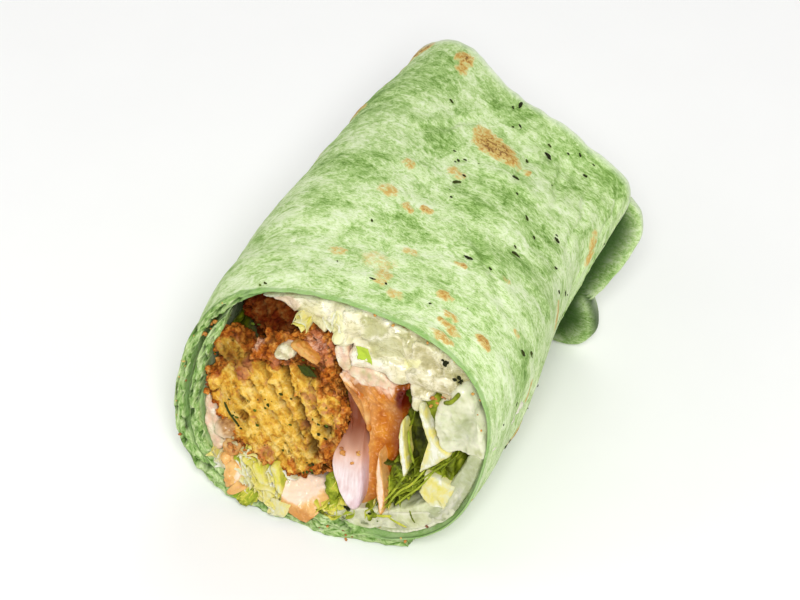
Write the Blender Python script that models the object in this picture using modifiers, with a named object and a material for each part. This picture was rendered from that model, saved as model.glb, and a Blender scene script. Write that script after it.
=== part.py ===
"""Half of a cut falafel wrap, lying on its side: a spinach tortilla rolled round its fillings.

The frame: +Y runs from the cut face to the tucked far end, +Z is up, and the wrap lies on z = 0.
Everything is drawn with the foot of the cut face at y = 0, and an empty then moves it so that the
origin is under the middle of the whole. Places on the cut face are given as (across, up): across is
x from the middle of the roll, and up is the height over the table. "Along" runs from 0 at the cut
face to 1 at the far edge. Lengths are metres and angles are degrees, counter-clockwise from +X as
the cut face is seen from the front.
"""
import math

import bpy
from mathutils import Vector, noise

MM = 0.001

# the roll
HALF_WIDTH = 37.3 * MM          # of the section at the cut face
HALF_HEIGHT = 30.4 * MM
SQUARENESS = 2.45               # exponent of the section: 2 is an ellipse, more is boxier
SHEAR = 0.17                    # how far the top of the section leans to +X
SETTLE = 0.9 * MM               # how far the soft roll has sunk into its flat underside
FACE_LEAN = 0.20                # the cut face leans back this much for each unit of height
ROLL_LENGTH = 100 * MM          # cut face to far edge, measured along the top
FAR_RISE = 0.40                 # the far edge overhangs: longer at the top
FAR_SLANT = -0.46               # and shorter at the right
FAR_WIDTH = 0.89                # size of the far end against the cut face
FAR_HEIGHT = 0.92
FAR_SHIFT = -4.5 * MM           # the roll drifts to the left on its way back
CORNER_REACH = 9 * MM           # how far the pointed corner of the far edge runs on
CORNER_FLARE = 3.5 * MM         # and how far it turns out
CORNER_ANGLE = 22
CORNER_SPREAD = 26
EDGE_DIP = 7 * MM               # the far edge runs straight to the corner instead of bulging
EDGE_DIP_ANGLE = 73
EDGE_DIP_SPREAD = 50
TAPER_FROM = 0.25               # the roll keeps its full size up to here
RIPPLE = 0.45 * MM              # soft unevenness of the sheet

# the tortilla sheet
SHEET = 2.3 * MM                # thickness
LAYER_GAP = 0.55 * MM           # between the two layers of the spiral
LAYER_LOOSE = 0.9 * MM          # more of a gap where the layers have come apart
LOOSE_ANGLE = 185
SPIRAL_START = 150              # the inner end of the sheet, at the upper left
START_SLOPE = 16                # the fillings slope in ahead of that end
START_MARGIN = 4
SPIRAL_LIFT = 285               # from here the inner layer comes out to the surface
SPIRAL_OUT = 345
SPIRAL_END = 645                # from here the outer layer lies flat on the table
FLAP_FRONT = 21 * MM            # x of the flap's free edge, at the cut and at the far end
FLAP_BACK = 25 * MM
FLAP_CUT = 4 * MM               # the flap's corner lies back from the cut face
SHEET_COLUMNS = 50
SHEET_ROWS = 8

# the tucked end
TUCK_FROM = 0.80                # where the tucked folds begin along the roll, as a share of it
TUCK_COLUMNS = 48
TUCK_SUNK = 0.55                # the folds' wall starts this share of the sheet's thickness deep
TUCK_LINING = 0.2 * MM          # and ends this far inside the lining
FOLDS = (                       # how far each fold stands out, its angle and its spread
    (0.92, 6, 46),              # the ear below the pointed corner
    (1.4, 323, 32),             # the small curl by the table
    (0.5, 252, 36),
    (0.55, 180, 58),
    (0.45, 95, 40),
)
TUCK_PROFILE = (                # reach from the middle and rise past the far edge in mm:
    (0.00, 0.00, -4.0, -4.0),   # in a crease (reach, on a lobe), (rise, on a lobe)
    (0.14, 0.18, -4.0, 0.0),
    (0.30, 0.46, -3.0, 5.0),
    (0.44, 0.78, -1.5, 8.5),
    (0.56, 1.02, -0.5, 9.5),
    (0.66, 1.16, -1.0, 8.0),
    (0.74, 1.20, -2.5, 5.0),
    (0.80, 1.10, -4.0, 2.0),
    (0.85, 0.93, -6.0, -1.5),
    (0.90, 0.90, -8.5, -7.0),
    (0.965, 0.965, -9.0, -9.0),
)

# the fillings
CLEARANCE = 0.35 * MM           # between touching pieces
LINING_CLEARANCE = 0.65 * MM    # between the fillings and the tortilla
FILLING_BACK = 0.84             # how far along the roll the fillings reach
FILLING_COLUMNS = 36
FALAFEL = (40 * MM, 29.5 * MM)   # the cut ball: across its two axes
FALAFEL_DEEP = 17 * MM
REAR_FALAFEL = 27 * MM
SLICE_EDGE = 0.6 * MM           # rounding of cut vegetables
CUCUMBER = 5.5 * MM             # thickness of the slices along the wall
DRESSING = 13 * MM              # thickness of the creamy layer under the top of the roll

COLORS = {
    "tortilla": ((0.42, 0.56, 0.27), 0.75),
    "falafel": ((0.62, 0.36, 0.12), 0.80),
    "falafel_crust": ((0.22, 0.07, 0.02), 0.75),
    "tomato": ((0.72, 0.25, 0.10), 0.35),
    "tomato_pale": ((0.80, 0.48, 0.35), 0.40),
    "onion": ((0.80, 0.68, 0.70), 0.35),
    "cucumber": ((0.66, 0.72, 0.55), 0.30),
    "chickpea": ((0.52, 0.42, 0.30), 0.55),
    "dressing": ((0.86, 0.84, 0.72), 0.35),
    "lettuce": ((0.42, 0.56, 0.14), 0.50),
}


def clear_scene():
    for obj in list(bpy.data.objects):
        bpy.data.objects.remove(obj, do_unlink=True)


def make_collection(name):
    collection = bpy.data.collections.new(name)
    bpy.context.scene.collection.children.link(collection)
    return collection


def material(name):
    existing = bpy.data.materials.get(name)
    if existing:
        return existing
    color, roughness = COLORS[name]
    made = bpy.data.materials.new(name)
    made.use_nodes = True
    shader = made.node_tree.nodes["Principled BSDF"]
    shader.inputs["Base Color"].default_value = (*color, 1)
    shader.inputs["Roughness"].default_value = roughness
    shader.inputs["Metallic"].default_value = 0
    return made


def ease(value, start=0.0, end=1.0):
    """0 before start, 1 after end, and a smooth S between them."""
    share = min(1.0, max(0.0, (value - start) / (end - start)))
    return share * share * (3 - 2 * share)


def bump(angle, middle, reach):
    """A smooth bump of height 1 round an angle, nothing beyond its reach."""
    away = abs((angle - middle + 180) % 360 - 180)
    return 1 - ease(away, 0, reach)


# the form of the roll

def ripple(angle, along):
    """Soft dents of the sheet: how far its surface stands out."""
    turn = math.radians(angle)
    wave = math.sin(2 * turn + 5 * along + 0.4) + 0.6 * math.sin(5 * turn - 7 * along)
    return RIPPLE * (wave + 0.5 * math.sin(3 * turn + 14 * along + 2.0))


def roll_point(angle, along, depth=0.0, reach=1.0, beyond=0.0):
    """A point of the roll: depth below its surface, reach times as far out from its middle."""
    turn = math.radians(angle)
    below = depth - ripple(angle, along) * ease(along, -0.1, TAPER_FROM)
    taper = ease(along, TAPER_FROM, 1)
    half_width = HALF_WIDTH * (1 - (1 - FAR_WIDTH) * taper) - below
    half_height = HALF_HEIGHT * (1 - (1 - FAR_HEIGHT) * taper) - below
    across_share = abs(math.cos(turn) / half_width) ** SQUARENESS
    up_share = abs(math.sin(turn) / half_height) ** SQUARENESS
    radius = reach * (across_share + up_share) ** (-1 / SQUARENESS)
    middle = half_height + below - SETTLE
    height = radius * math.sin(turn)
    corner = bump(angle, CORNER_ANGLE, CORNER_SPREAD) * min(reach, 1) ** 4
    x = radius * math.cos(turn) + SHEAR * height + FAR_SHIFT * ease(along, 0, 1)
    x += CORNER_FLARE * corner * ease(along, 0.7, 1)
    z = max(middle + height, depth)
    front = FACE_LEAN * z
    back = ROLL_LENGTH + FAR_SLANT * (x - 7 * MM) + FAR_RISE * (z - 50 * MM)
    back += CORNER_REACH * corner - EDGE_DIP * bump(angle, EDGE_DIP_ANGLE, EDGE_DIP_SPREAD) * reach
    return Vector((x, front * (1 - along) + back * along + beyond, z))


def layer_gap(angle):
    return LAYER_GAP + LAYER_LOOSE * bump(angle, LOOSE_ANGLE, 50)


def inner_layer_depth(angle):
    """Depth of the outer side of the inner layer, which comes to the surface at SPIRAL_OUT."""
    return (SHEET + layer_gap(angle)) * (1 - ease(angle, SPIRAL_LIFT, SPIRAL_OUT))


def lining_depth(angle):
    """Depth of the innermost side of the tortilla, where the fillings begin."""
    angle = angle % 360
    if angle < SPIRAL_START:
        rise = ease(angle, SPIRAL_START - START_SLOPE, SPIRAL_START - START_MARGIN)
        return SHEET + inner_layer_depth(SPIRAL_START) * rise
    return SHEET + inner_layer_depth(angle)


# meshes

def new_object(name, vertices, faces, collection, material_name=None):
    mesh = bpy.data.meshes.new(name)
    mesh.from_pydata([tuple(vertex) for vertex in vertices], [], faces)
    mesh.shade_smooth()
    obj = bpy.data.objects.new(name, mesh)
    collection.objects.link(obj)
    if material_name:
        mesh.materials.append(material(material_name))
    else:
        obj.display_type = "WIRE"
        obj.hide_render = True
    return obj


def grid_surface(name, rows, collection, material_name=None):
    """An open surface through rows of points."""
    width = len(rows[0])
    vertices = [point for row in rows for point in row]
    faces = []
    for row in range(len(rows) - 1):
        for column in range(width - 1):
            corner = row * width + column
            faces.append((corner, corner + width, corner + width + 1, corner + 1))
    return new_object(name, vertices, faces, collection, material_name)


def ring_walls(rings, first):
    """Quads between rings of points, which are numbered from first."""
    width = len(rings[0])
    faces = []
    for ring in range(len(rings) - 1):
        corner = first + ring * width
        for column in range(width):
            beside = (column + 1) % width
            faces.append((corner + column, corner + width + column, corner + width + beside, corner + beside))
    return faces


def loft(name, rings, collection, material_name=None):
    """A closed solid through rings of points, drawn together to a tip at the first and the last."""
    width = len(rings[0])
    vertices = [sum(rings[0], Vector()) / width]
    for ring in rings[1:-1]:
        vertices.extend(ring)
    vertices.append(sum(rings[-1], Vector()) / width)
    last = len(vertices) - 1
    faces = ring_walls(rings[1:-1], 1)
    for column in range(width):
        beside = (column + 1) % width
        faces.append((0, 1 + column, 1 + beside))
        faces.append((last - width + column, last, last - width + beside))
    return new_object(name, vertices, faces, collection, material_name)


def band_loft(name, rings, collection, material_name=None):
    """A closed solid through rings that go out along one side of a band and back along the other."""
    width = len(rings[0])
    vertices = [point for ring in rings for point in ring]
    faces = ring_walls(rings, 0)
    end = len(vertices) - width
    for column in range(width // 2 - 1):
        across = width - 1 - column
        faces.append((column, column + 1, across - 1, across))
        faces.append((end + column, end + across, end + across - 1, end + column + 1))
    return new_object(name, vertices, faces, collection, material_name)


def boolean(obj, cutter, operation):
    modifier = obj.modifiers.new(operation.title() + " " + cutter.name, "BOOLEAN")
    modifier.operation = operation
    modifier.object = cutter


# the tortilla

def sheet_row(along):
    """One row of the spiral sheet's outer side, from its inner end to the free edge of the flap."""
    row = []
    for column in range(SHEET_COLUMNS + 1):
        angle = SPIRAL_START + (SPIRAL_END - SPIRAL_START) * column / SHEET_COLUMNS
        row.append(roll_point(angle, along, inner_layer_depth(angle)))
    lift = row[-1]
    flap_edge = FLAP_FRONT + (FLAP_BACK - FLAP_FRONT) * along + FAR_SHIFT * ease(along, 0, 1)
    for step in (0.35, 0.7, 1.0):
        cut_back = FLAP_CUT * step * (1 - along)
        row.append(Vector((lift.x + (flap_edge - lift.x) * step, lift.y + cut_back, 0)))
    return row


def fold_share(angle):
    """1 where a lobe of the tucked end stands out fully, 0 in the creases between the folds."""
    return sum(share * bump(angle, middle, spread) for share, middle, spread in FOLDS)


def tuck_ring(depth, along, reach=1.0, lobe_reach=None, rise=0.0, lobe_rise=0.0):
    """A ring of the tucked end, between its form in a crease and its form on a lobe."""
    ring = []
    for column in range(TUCK_COLUMNS):
        angle = column * 360 / TUCK_COLUMNS
        share = fold_share(angle)
        inward = depth(angle) if callable(depth) else depth
        out = reach if lobe_reach is None else reach + (lobe_reach - reach) * share
        beyond = rise + (lobe_rise - rise) * share
        ring.append(roll_point(angle, along, inward, out, beyond * MM))
    return ring


def build_tucked_end(cutters):
    """The folded-in end of the roll: a cup with lobes, its wall sunk in the layers of the sheet."""
    outer = SHEET * TUCK_SUNK

    def inside(angle):
        return lining_depth(angle) + TUCK_LINING

    rings = [tuck_ring(outer, 1, *profile) for profile in TUCK_PROFILE]
    rings += [tuck_ring(outer, along) for along in (0.87, TUCK_FROM)]
    rings += [tuck_ring(inside, along) for along in (TUCK_FROM - 0.02, 0.86)]
    rings += [tuck_ring(inside, 0.86, reach) for reach in (0.8, 0.4, 0)]
    return loft("end_tuck", rings, cutters)


def build_tortilla(parts, cutters):
    rows = [sheet_row(row / SHEET_ROWS) for row in range(SHEET_ROWS + 1)]
    tortilla = grid_surface("tortilla", rows, parts, "tortilla")
    solidify = tortilla.modifiers.new("Solidify", "SOLIDIFY")
    solidify.thickness = SHEET
    solidify.offset = -1
    solidify.use_even_offset = True
    boolean(tortilla, build_tucked_end(cutters), "UNION")


# the fillings: each shape is a list of rings, made larger all round by grow to clear its neighbours

def face_point(across, up, inward):
    """A point of a filling, inward from the leaning cut face."""
    return Vector((across, FACE_LEAN * up + inward, up))


def lump(point, seed, size, amount):
    """A soft random swelling, the same for a piece and for the space around it."""
    return amount * noise.noise(point / size + Vector((seed, 2 * seed, 0)))


def outline(centre, size, tilt=0, squareness=2.0, taper=0, bend=0, grow=0, columns=16):
    """Points (across, up) of a rounded outline on the cut face."""
    turned = math.radians(tilt)
    points = []
    for column in range(columns):
        turn = math.tau * column / columns
        share = math.copysign(abs(math.sin(turn)) ** (2 / squareness), math.sin(turn))
        v = (size[1] / 2 + grow) * share
        u = (size[0] / 2 + grow) * math.copysign(abs(math.cos(turn)) ** (2 / squareness), math.cos(turn))
        u = u * (1 + taper * share) + bend * share * share
        across = centre[0] + u * math.cos(turned) - v * math.sin(turned)
        points.append((across, centre[1] + u * math.sin(turned) + v * math.cos(turned)))
    return points


def slab(front, deep, centre, size, grow=0, **form):
    """A cut piece with an outline on the face and a depth inward, its edges rounded."""
    edge = SLICE_EDGE
    small = outline(centre, (size[0] - 2 * edge, size[1] - 2 * edge), grow=grow, **form)
    full = outline(centre, size, grow=grow, **form)
    start = front - grow
    end = front + deep + grow
    rings = []
    for points, inward in ((small, start), (small, start), (full, start + edge), (full, (start + end) / 2),
                           (full, end - edge), (small, end), (small, end)):
        rings.append([face_point(across, up, inward) for across, up in points])
    return rings


def ball(centre, size, deep, front, profile, grow=0, tilt=0, seed=1, columns=18):
    """A rough ball or cut half of one: profile gives (radius, inward) as shares of size and deep."""
    rings = []
    widest = outline(centre, size, tilt=tilt, grow=grow, columns=columns)
    for radius, inward in profile:
        ring = []
        for across, up in widest:
            x = centre[0] + (across - centre[0]) * radius
            z = centre[1] + (up - centre[1]) * radius
            point = face_point(x, z, front + deep * inward + grow * (2 * inward - 1))
            swell = lump(point, seed, 9 * MM, 0.09) * radius
            point.x += (x - centre[0]) * swell
            point.z += (z - centre[1]) * swell
            ring.append(point)
        rings.append(ring)
    return rings


def wall_band(start, end, thickness, deep, front, grow=0, columns=12):
    """A layer that follows the inside of the tortilla between two angles, to a share of the length."""
    rings = []
    steps = [(0, 0.12), (0.02, 0), (0.5, 0), (0.98, 0), (1, 0.12)]
    for share, shrink in steps:
        along = deep * share
        if share in (0, 1):
            along += math.copysign(grow / ROLL_LENGTH, share - 0.5)
        outer = []
        inner = []
        spread = math.degrees(grow / HALF_HEIGHT)
        for column in range(columns + 1):
            angle = start - spread + (end - start + 2 * spread) * column / columns
            rounded = math.sin(math.pi * (0.12 + 0.76 * column / columns)) ** 0.6
            wall_side = lining_depth(angle)
            inner_side = wall_side + LINING_CLEARANCE + thickness * rounded * (1 - shrink) + grow
            if not grow:
                wall_side += LINING_CLEARANCE + thickness * shrink * 0.5
            outer.append(roll_point(angle, along, wall_side, beyond=front * (1 - share)))
            inner.append(roll_point(angle, along, inner_side, beyond=front * (1 - share)))
        rings.append(outer + inner[::-1])
    return rings


CUT_BALL = ((0, 0), (0.45, -0.03), (0.80, 0), (0.95, 0.03), (1.0, 0.16), (0.97, 0.42), (0.84, 0.68),
            (0.58, 0.89), (0.28, 0.98), (0, 1))
WHOLE_BALL = ((0, 0), (0.38, 0.04), (0.70, 0.15), (0.92, 0.31), (1.0, 0.5), (0.92, 0.69), (0.70, 0.85),
              (0.38, 0.96), (0, 1))


def falafel_front(grow):
    return ball((-12 * MM, 27 * MM), FALAFEL, FALAFEL_DEEP, -0.8 * MM, CUT_BALL, grow, tilt=-24, seed=3)


def falafel_rear(grow):
    size = (REAR_FALAFEL, REAR_FALAFEL * 0.9)
    return ball((-15.5 * MM, 41.5 * MM), size, REAR_FALAFEL, 5 * MM, WHOLE_BALL, grow, tilt=20, seed=8)


def onion_slice(grow):
    form = dict(tilt=-6, squareness=2.6, taper=0.15, bend=1.0 * MM)
    return slab(-0.5 * MM, 30 * MM, (6.2 * MM, 21.5 * MM), (6.2 * MM, 24 * MM), grow, **form)


def tomato_sliver(grow):
    return slab(-0.8 * MM, 11 * MM, (16.6 * MM, 18.5 * MM), (2.8 * MM, 17 * MM), grow, tilt=6, squareness=2.4)


def tomato_slice(grow):
    form = dict(tilt=3, squareness=3.4, taper=0.2, bend=-1.2 * MM)
    return slab(0.4 * MM, 36 * MM, (12.2 * MM, 28 * MM), (10.5 * MM, 36 * MM), grow, **form)


def tomato_chunk(grow):
    form = dict(tilt=-14, squareness=5, taper=-0.06)
    return slab(-2.6 * MM, 14 * MM, (-1.8 * MM, 10.6 * MM), (11.5 * MM, 9 * MM), grow, **form)


def tomato_piece_left(grow):
    return ball((-23.4 * MM, 10.6 * MM), (8.4 * MM, 7 * MM), 10 * MM, -2 * MM, WHOLE_BALL, grow,
                tilt=-40, seed=5, columns=14)


def chickpea(grow):
    return ball((-27.2 * MM, 19.5 * MM), (5.4 * MM, 6.6 * MM), 7 * MM, -0.2 * MM, WHOLE_BALL, grow,
                tilt=20, seed=7, columns=12)


def cucumber_slice_low(grow):
    return wall_band(286, 362, CUCUMBER, 0.34, 0.6 * MM, grow)


def cucumber_slice_side(grow):
    return wall_band(6, 31, 7 * MM, 0.22, 0.2 * MM, grow, columns=6)


def dressing(grow):
    return wall_band(36, 114, DRESSING, 0.5, 1.6 * MM, grow)


def lettuce_front(angle, reach):
    """How far the ragged front of the lettuce lies behind the cut, with a hollow at the upper left."""
    turn = math.radians(angle)
    spot = Vector((math.cos(turn), math.sin(turn), 0)) * reach * 2.3
    hollow = 17 * MM * bump(angle, 128, 40) * ease(reach, 0.35, 0.8)
    return 2.4 * MM + 1.7 * MM * noise.noise(spot + Vector((4.2, 1.7, 0))) + hollow


def lining_ring(along, reach=1.0, beyond=None):
    """A ring of the room inside the tortilla."""
    points = []
    for column in range(FILLING_COLUMNS):
        angle = column * 360 / FILLING_COLUMNS
        depth = lining_depth(angle) + LINING_CLEARANCE
        inward = beyond(angle, reach) if beyond else 0
        points.append(roll_point(angle, along, depth, reach, inward))
    return points


def room_rings():
    """The room inside the tortilla, from in front of the cut face to its far end."""
    alongs = (-0.1, -0.1, 0, 0.25, 0.5, 0.7, FILLING_BACK, FILLING_BACK)
    return [lining_ring(along) for along in alongs]


def lettuce_rings():
    rings = [lining_ring(0, reach, lettuce_front) for reach in (0, 0.25, 0.5, 0.75, 0.92, 1)]
    rings += [lining_ring(along) for along in (0.25, 0.5, 0.7, FILLING_BACK)]
    return rings + [lining_ring(FILLING_BACK, reach) for reach in (0.6, 0)]


FILLINGS = (
    (falafel_front, "falafel"),
    (onion_slice, "onion"),
    (tomato_sliver, "tomato"),
    (tomato_slice, "tomato"),
    (tomato_chunk, "tomato_pale"),
    (tomato_piece_left, "tomato_pale"),
    (chickpea, "chickpea"),
    (cucumber_slice_low, "cucumber"),
    (cucumber_slice_side, "cucumber"),
    (falafel_rear, "falafel_crust"),
    (dressing, "dressing"),
)
WALL_BANDS = (cucumber_slice_low, cucumber_slice_side, dressing)
NEAR_THE_WALL = (falafel_front, falafel_rear, tomato_chunk, tomato_piece_left, chickpea)


def boxes_meet(one, other):
    """Whether the boxes round two objects' own meshes touch."""
    for axis in range(3):
        spans = []
        for obj in (one, other):
            values = [vertex.co[axis] for vertex in obj.data.vertices]
            spans.append((min(values), max(values)))
        if spans[0][1] < spans[1][0] or spans[1][1] < spans[0][0]:
            return False
    return True


def build_fillings(parts, cutters):
    """Each filling is cut back from those before it, and the lettuce fills what is left."""
    spaces = []
    room = loft("room", room_rings(), cutters)
    for shape, material_name in FILLINGS:
        solid = band_loft if shape in WALL_BANDS else loft
        piece = solid(shape.__name__, shape(0), parts, material_name)
        if shape in NEAR_THE_WALL:
            boolean(piece, room, "INTERSECT")
        for space in spaces:
            if boxes_meet(piece, space):
                boolean(piece, space, "DIFFERENCE")
        spaces.append(solid(shape.__name__ + "_space", shape(CLEARANCE), cutters))
    lettuce = loft("lettuce", lettuce_rings(), parts, "lettuce")
    for space in spaces:
        boolean(lettuce, space, "DIFFERENCE")


def stand_at_origin(frame, parts):
    """Move the frame so that the origin is under the middle of the box round all the parts."""
    bpy.context.view_layer.update()
    depsgraph = bpy.context.evaluated_depsgraph_get()
    corners = []
    for obj in parts.objects:
        if obj.type == "MESH":
            corners += [Vector(corner) for corner in obj.evaluated_get(depsgraph).bound_box]
    low = Vector([min(corner[axis] for corner in corners) for axis in range(3)])
    high = Vector([max(corner[axis] for corner in corners) for axis in range(3)])
    frame.location = (-(low.x + high.x) / 2, -(low.y + high.y) / 2, -low.z)


def main():
    clear_scene()
    parts = make_collection("falafel_wrap")
    cutters = make_collection("cutters")
    frame = bpy.data.objects.new("falafel_wrap_frame", None)
    parts.objects.link(frame)
    build_tortilla(parts, cutters)
    build_fillings(parts, cutters)
    for obj in list(parts.objects) + list(cutters.objects):
        if obj is not frame:
            obj.parent = frame
    stand_at_origin(frame, parts)


main()
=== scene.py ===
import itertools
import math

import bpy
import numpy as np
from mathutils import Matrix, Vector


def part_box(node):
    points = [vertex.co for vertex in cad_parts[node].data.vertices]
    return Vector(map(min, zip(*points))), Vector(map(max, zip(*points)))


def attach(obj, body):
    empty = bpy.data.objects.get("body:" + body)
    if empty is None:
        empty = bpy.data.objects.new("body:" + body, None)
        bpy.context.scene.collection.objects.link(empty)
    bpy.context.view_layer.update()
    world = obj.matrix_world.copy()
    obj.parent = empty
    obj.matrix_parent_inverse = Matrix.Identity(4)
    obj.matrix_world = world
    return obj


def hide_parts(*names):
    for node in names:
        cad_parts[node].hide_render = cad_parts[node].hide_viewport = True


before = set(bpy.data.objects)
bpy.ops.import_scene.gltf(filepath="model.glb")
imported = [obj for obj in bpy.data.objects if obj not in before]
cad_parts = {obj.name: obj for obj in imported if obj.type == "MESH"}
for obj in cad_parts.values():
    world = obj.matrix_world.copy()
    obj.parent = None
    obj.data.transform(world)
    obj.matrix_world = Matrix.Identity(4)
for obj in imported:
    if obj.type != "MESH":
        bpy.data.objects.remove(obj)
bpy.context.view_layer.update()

# The looks of half a cut falafel wrap. Points are worked out in millimetres in the roll's own frame:
# +Y runs from the foot of the cut face to the tucked end, and +Z is up from the table. Places on the
# cut face are (across, up), with inward for how far behind the leaning face a point lies. Angles are
# in degrees, counter-clockwise from +X as the cut face is seen from the front.

MM = 0.001

# the roll and its sheet, as the solids have them: lengths in millimetres, places along the roll as a
# share of its length, and for each local swell its size, the angle it is at and how far it spreads
HALF_WIDTH = 37.3
HALF_HEIGHT = 30.4
SQUARENESS = 2.45
SHEAR = 0.17
SETTLE = 0.9
FACE_LEAN = 0.2
ROLL_LENGTH = 100
FAR_RISE = 0.4
FAR_SLANT = -0.46
FAR_WIDTH = 0.89
FAR_HEIGHT = 0.92
FAR_SHIFT = -4.5
CORNER_REACH = 9
CORNER_FLARE = 3.5
CORNER_ANGLE = 22
CORNER_SPREAD = 26
EDGE_DIP = 7
EDGE_DIP_ANGLE = 80
EDGE_DIP_SPREAD = 44
TAPER_FROM = 0.25
RIPPLE = 0.45
SHEET = 2.3
LAYER_GAP = 0.55
LAYER_LOOSE = 0.9
LOOSE_ANGLE = 185
SPIRAL_START = 150
SPIRAL_LIFT = 285
SPIRAL_OUT = 345
SPIRAL_END = 645
FLAP_FRONT = 21
FLAP_BACK = 25
FLAP_CUT = 4
FAR_TRIM = 3.6
FAR_TRIM_ANGLE = 106
FAR_TRIM_SPREAD = 36
SIDE_BELLY = 2.2
SIDE_BELLY_ANGLE = 148
SIDE_BELLY_SPREAD = 36
FOLDS = (
    # how far the tucked sheet stands out at each angle, as a share of its outer profile
    (-55, 0.05), (-50, 0.3), (-43, 1.2), (-33, 1.36), (-24, 1.3), (-18, 0.9), (-13, 0.98), (-6, 1.1),
    (2, 1.17), (9, 1.1), (14, 0.84), (19, 0.42), (24, 0.05), (30, 0), (58, 0.1), (95, 0.45), (130, 0.25),
    (180, 0.55), (225, 0.3), (252, 0.5), (282, 0.1),
)
TUCK_PROFILE = (
    # the tucked end from its middle to its rim: reach and rise where nothing stands out, and where it does
    (0.00, 0.00, -4.0, -4.0),
    (0.14, 0.18, -4.0, 0.0),
    (0.3, 0.46, -3.0, 5.0),
    (0.44, 0.78, -1.5, 8.5),
    (0.56, 1.02, -0.5, 9.5),
    (0.66, 1.16, -1.0, 8.0),
    (0.74, 1.2, -2.5, 5.0),
    (0.8, 1.1, -4.0, 2.0),
    (0.85, 0.93, -6.0, -1.5),
    (0.9, 0.9, -8.5, -7.0),
    (0.965, 0.965, -9.0, -9.0),
)
# how far along the roll the fillings go, and how far they hang out past the cut rim
FILLING_BACK = 0.84
OVERHANG = 3.4
# how far across and up a piece is seen to move for each millimetre that it is set back
SET_ACROSS, SET_UP = 0.42, 0.84


# smooth steps and the form of the roll

def ease(value, start=0.0, end=1.0):
    """0 before start, 1 after end, and a smooth S between them."""
    share = np.clip((value - start) / (end - start), 0, 1)
    return share * share * (3 - 2 * share)


def bump(angle, middle, reach):
    """A smooth bump of height 1 round an angle, nothing beyond its reach."""
    return 1 - ease(np.abs((angle - middle + 180) % 360 - 180), 0, reach)


def stacked(x, y, z):
    """Points from their three values, each a number or an array."""
    return np.stack(np.broadcast_arrays(x, y, z), axis=-1)


def ripple(angle, along):
    """The low, uneven swells of the rolled sheet."""
    turn = np.radians(angle)
    wave = np.sin(2 * turn + 5 * along + 0.4) + 0.6 * np.sin(5 * turn - 7 * along)
    return RIPPLE * (wave + 0.5 * np.sin(3 * turn + 14 * along + 2.0))


def roll(angle, along, depth=0.0, reach=1.0, beyond=0.0):
    """Points of the roll: depth below its surface, reach times as far out from its middle, and beyond
    where they would be along it."""
    turn = np.radians(angle)
    below = depth - ripple(angle, along) * ease(along, -0.1, TAPER_FROM)
    taper = ease(along, TAPER_FROM, 1)
    half_width = HALF_WIDTH * (1 - (1 - FAR_WIDTH) * taper) - below
    half_height = HALF_HEIGHT * (1 - (1 - FAR_HEIGHT) * taper) - below
    sideways = np.abs(np.cos(turn) / half_width) ** SQUARENESS
    upwards = np.abs(np.sin(turn) / half_height) ** SQUARENESS
    radius = reach * (sideways + upwards) ** (-1 / SQUARENESS)
    height = radius * np.sin(turn)
    corner = bump(angle, CORNER_ANGLE, CORNER_SPREAD) * np.minimum(reach, 1) ** 4
    x = radius * np.cos(turn) + SHEAR * height + FAR_SHIFT * ease(along)
    x = x + CORNER_FLARE * corner * ease(along, 0.7, 1)
    z = np.maximum(half_height + below - SETTLE + height, depth)
    back = ROLL_LENGTH + FAR_SLANT * (x - 7) + FAR_RISE * (z - 50) + CORNER_REACH * corner
    back = back - EDGE_DIP * bump(angle, EDGE_DIP_ANGLE, EDGE_DIP_SPREAD) * reach
    back = back - FAR_TRIM * bump(angle, FAR_TRIM_ANGLE, FAR_TRIM_SPREAD) * np.minimum(reach, 1)
    y = FACE_LEAN * z * (1 - along) + back * along + beyond
    return stacked(x, y, z)


def sheet_depth(turn):
    """Depth of the sheet's outer side along the spiral, which comes to the surface at SPIRAL_OUT."""
    gap = LAYER_GAP + LAYER_LOOSE * bump(turn, LOOSE_ANGLE, 50)
    return (SHEET + gap) * (1 - ease(turn, SPIRAL_LIFT, SPIRAL_OUT))


def lining_depth(angle):
    """Depth of the innermost side of the tortilla, where the fillings begin."""
    angle = angle % 360
    wound = np.maximum(angle, SPIRAL_START)
    return SHEET + sheet_depth(wound) * ease(angle, SPIRAL_START - 16, SPIRAL_START - 4)


def find_foot():
    """Where the middle of the cut face's foot is in the frame, from the tortilla's box."""
    low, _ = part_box("tortilla")
    angle, along = np.meshgrid(np.arange(0, 360, 2.0), np.linspace(0, 1, 41))
    leftmost = roll(angle, along)[..., 0].min()
    return np.array([low.x / MM - leftmost, low.y / MM, 0])


FOOT = find_foot()


def at(across, up, inward=0.0):
    """A point of the fillings, inward from the leaning cut face."""
    return np.array([across, FACE_LEAN * up + inward, up], float)


def behind_face(points):
    """How far behind the leaning cut face points are."""
    return points[..., 1] - FACE_LEAN * points[..., 2]


def set_back(outline, front):
    """An outline moved so that it shows in the same place when its piece is set back by front."""
    return np.asarray(outline, float) - np.array((SET_ACROSS, SET_UP)) * front


# noise for the shapes

def scatter(cells, seed):
    """A random number from 0 to 1 for each whole-numbered cell."""
    mixed = cells[..., 0] * 73856093 ^ cells[..., 1] * 19349663 ^ cells[..., 2] * 83492791
    mixed = (mixed ^ (seed + 1) * 40503) & 0x7FFFFFFF
    mixed = (mixed ^ mixed >> 15) * 739982445 & 0x7FFFFFFF
    mixed = (mixed ^ mixed >> 12) * 695872825 & 0x7FFFFFFF
    return (mixed >> 7 & 0xFFFF) / 0xFFFF


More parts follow.
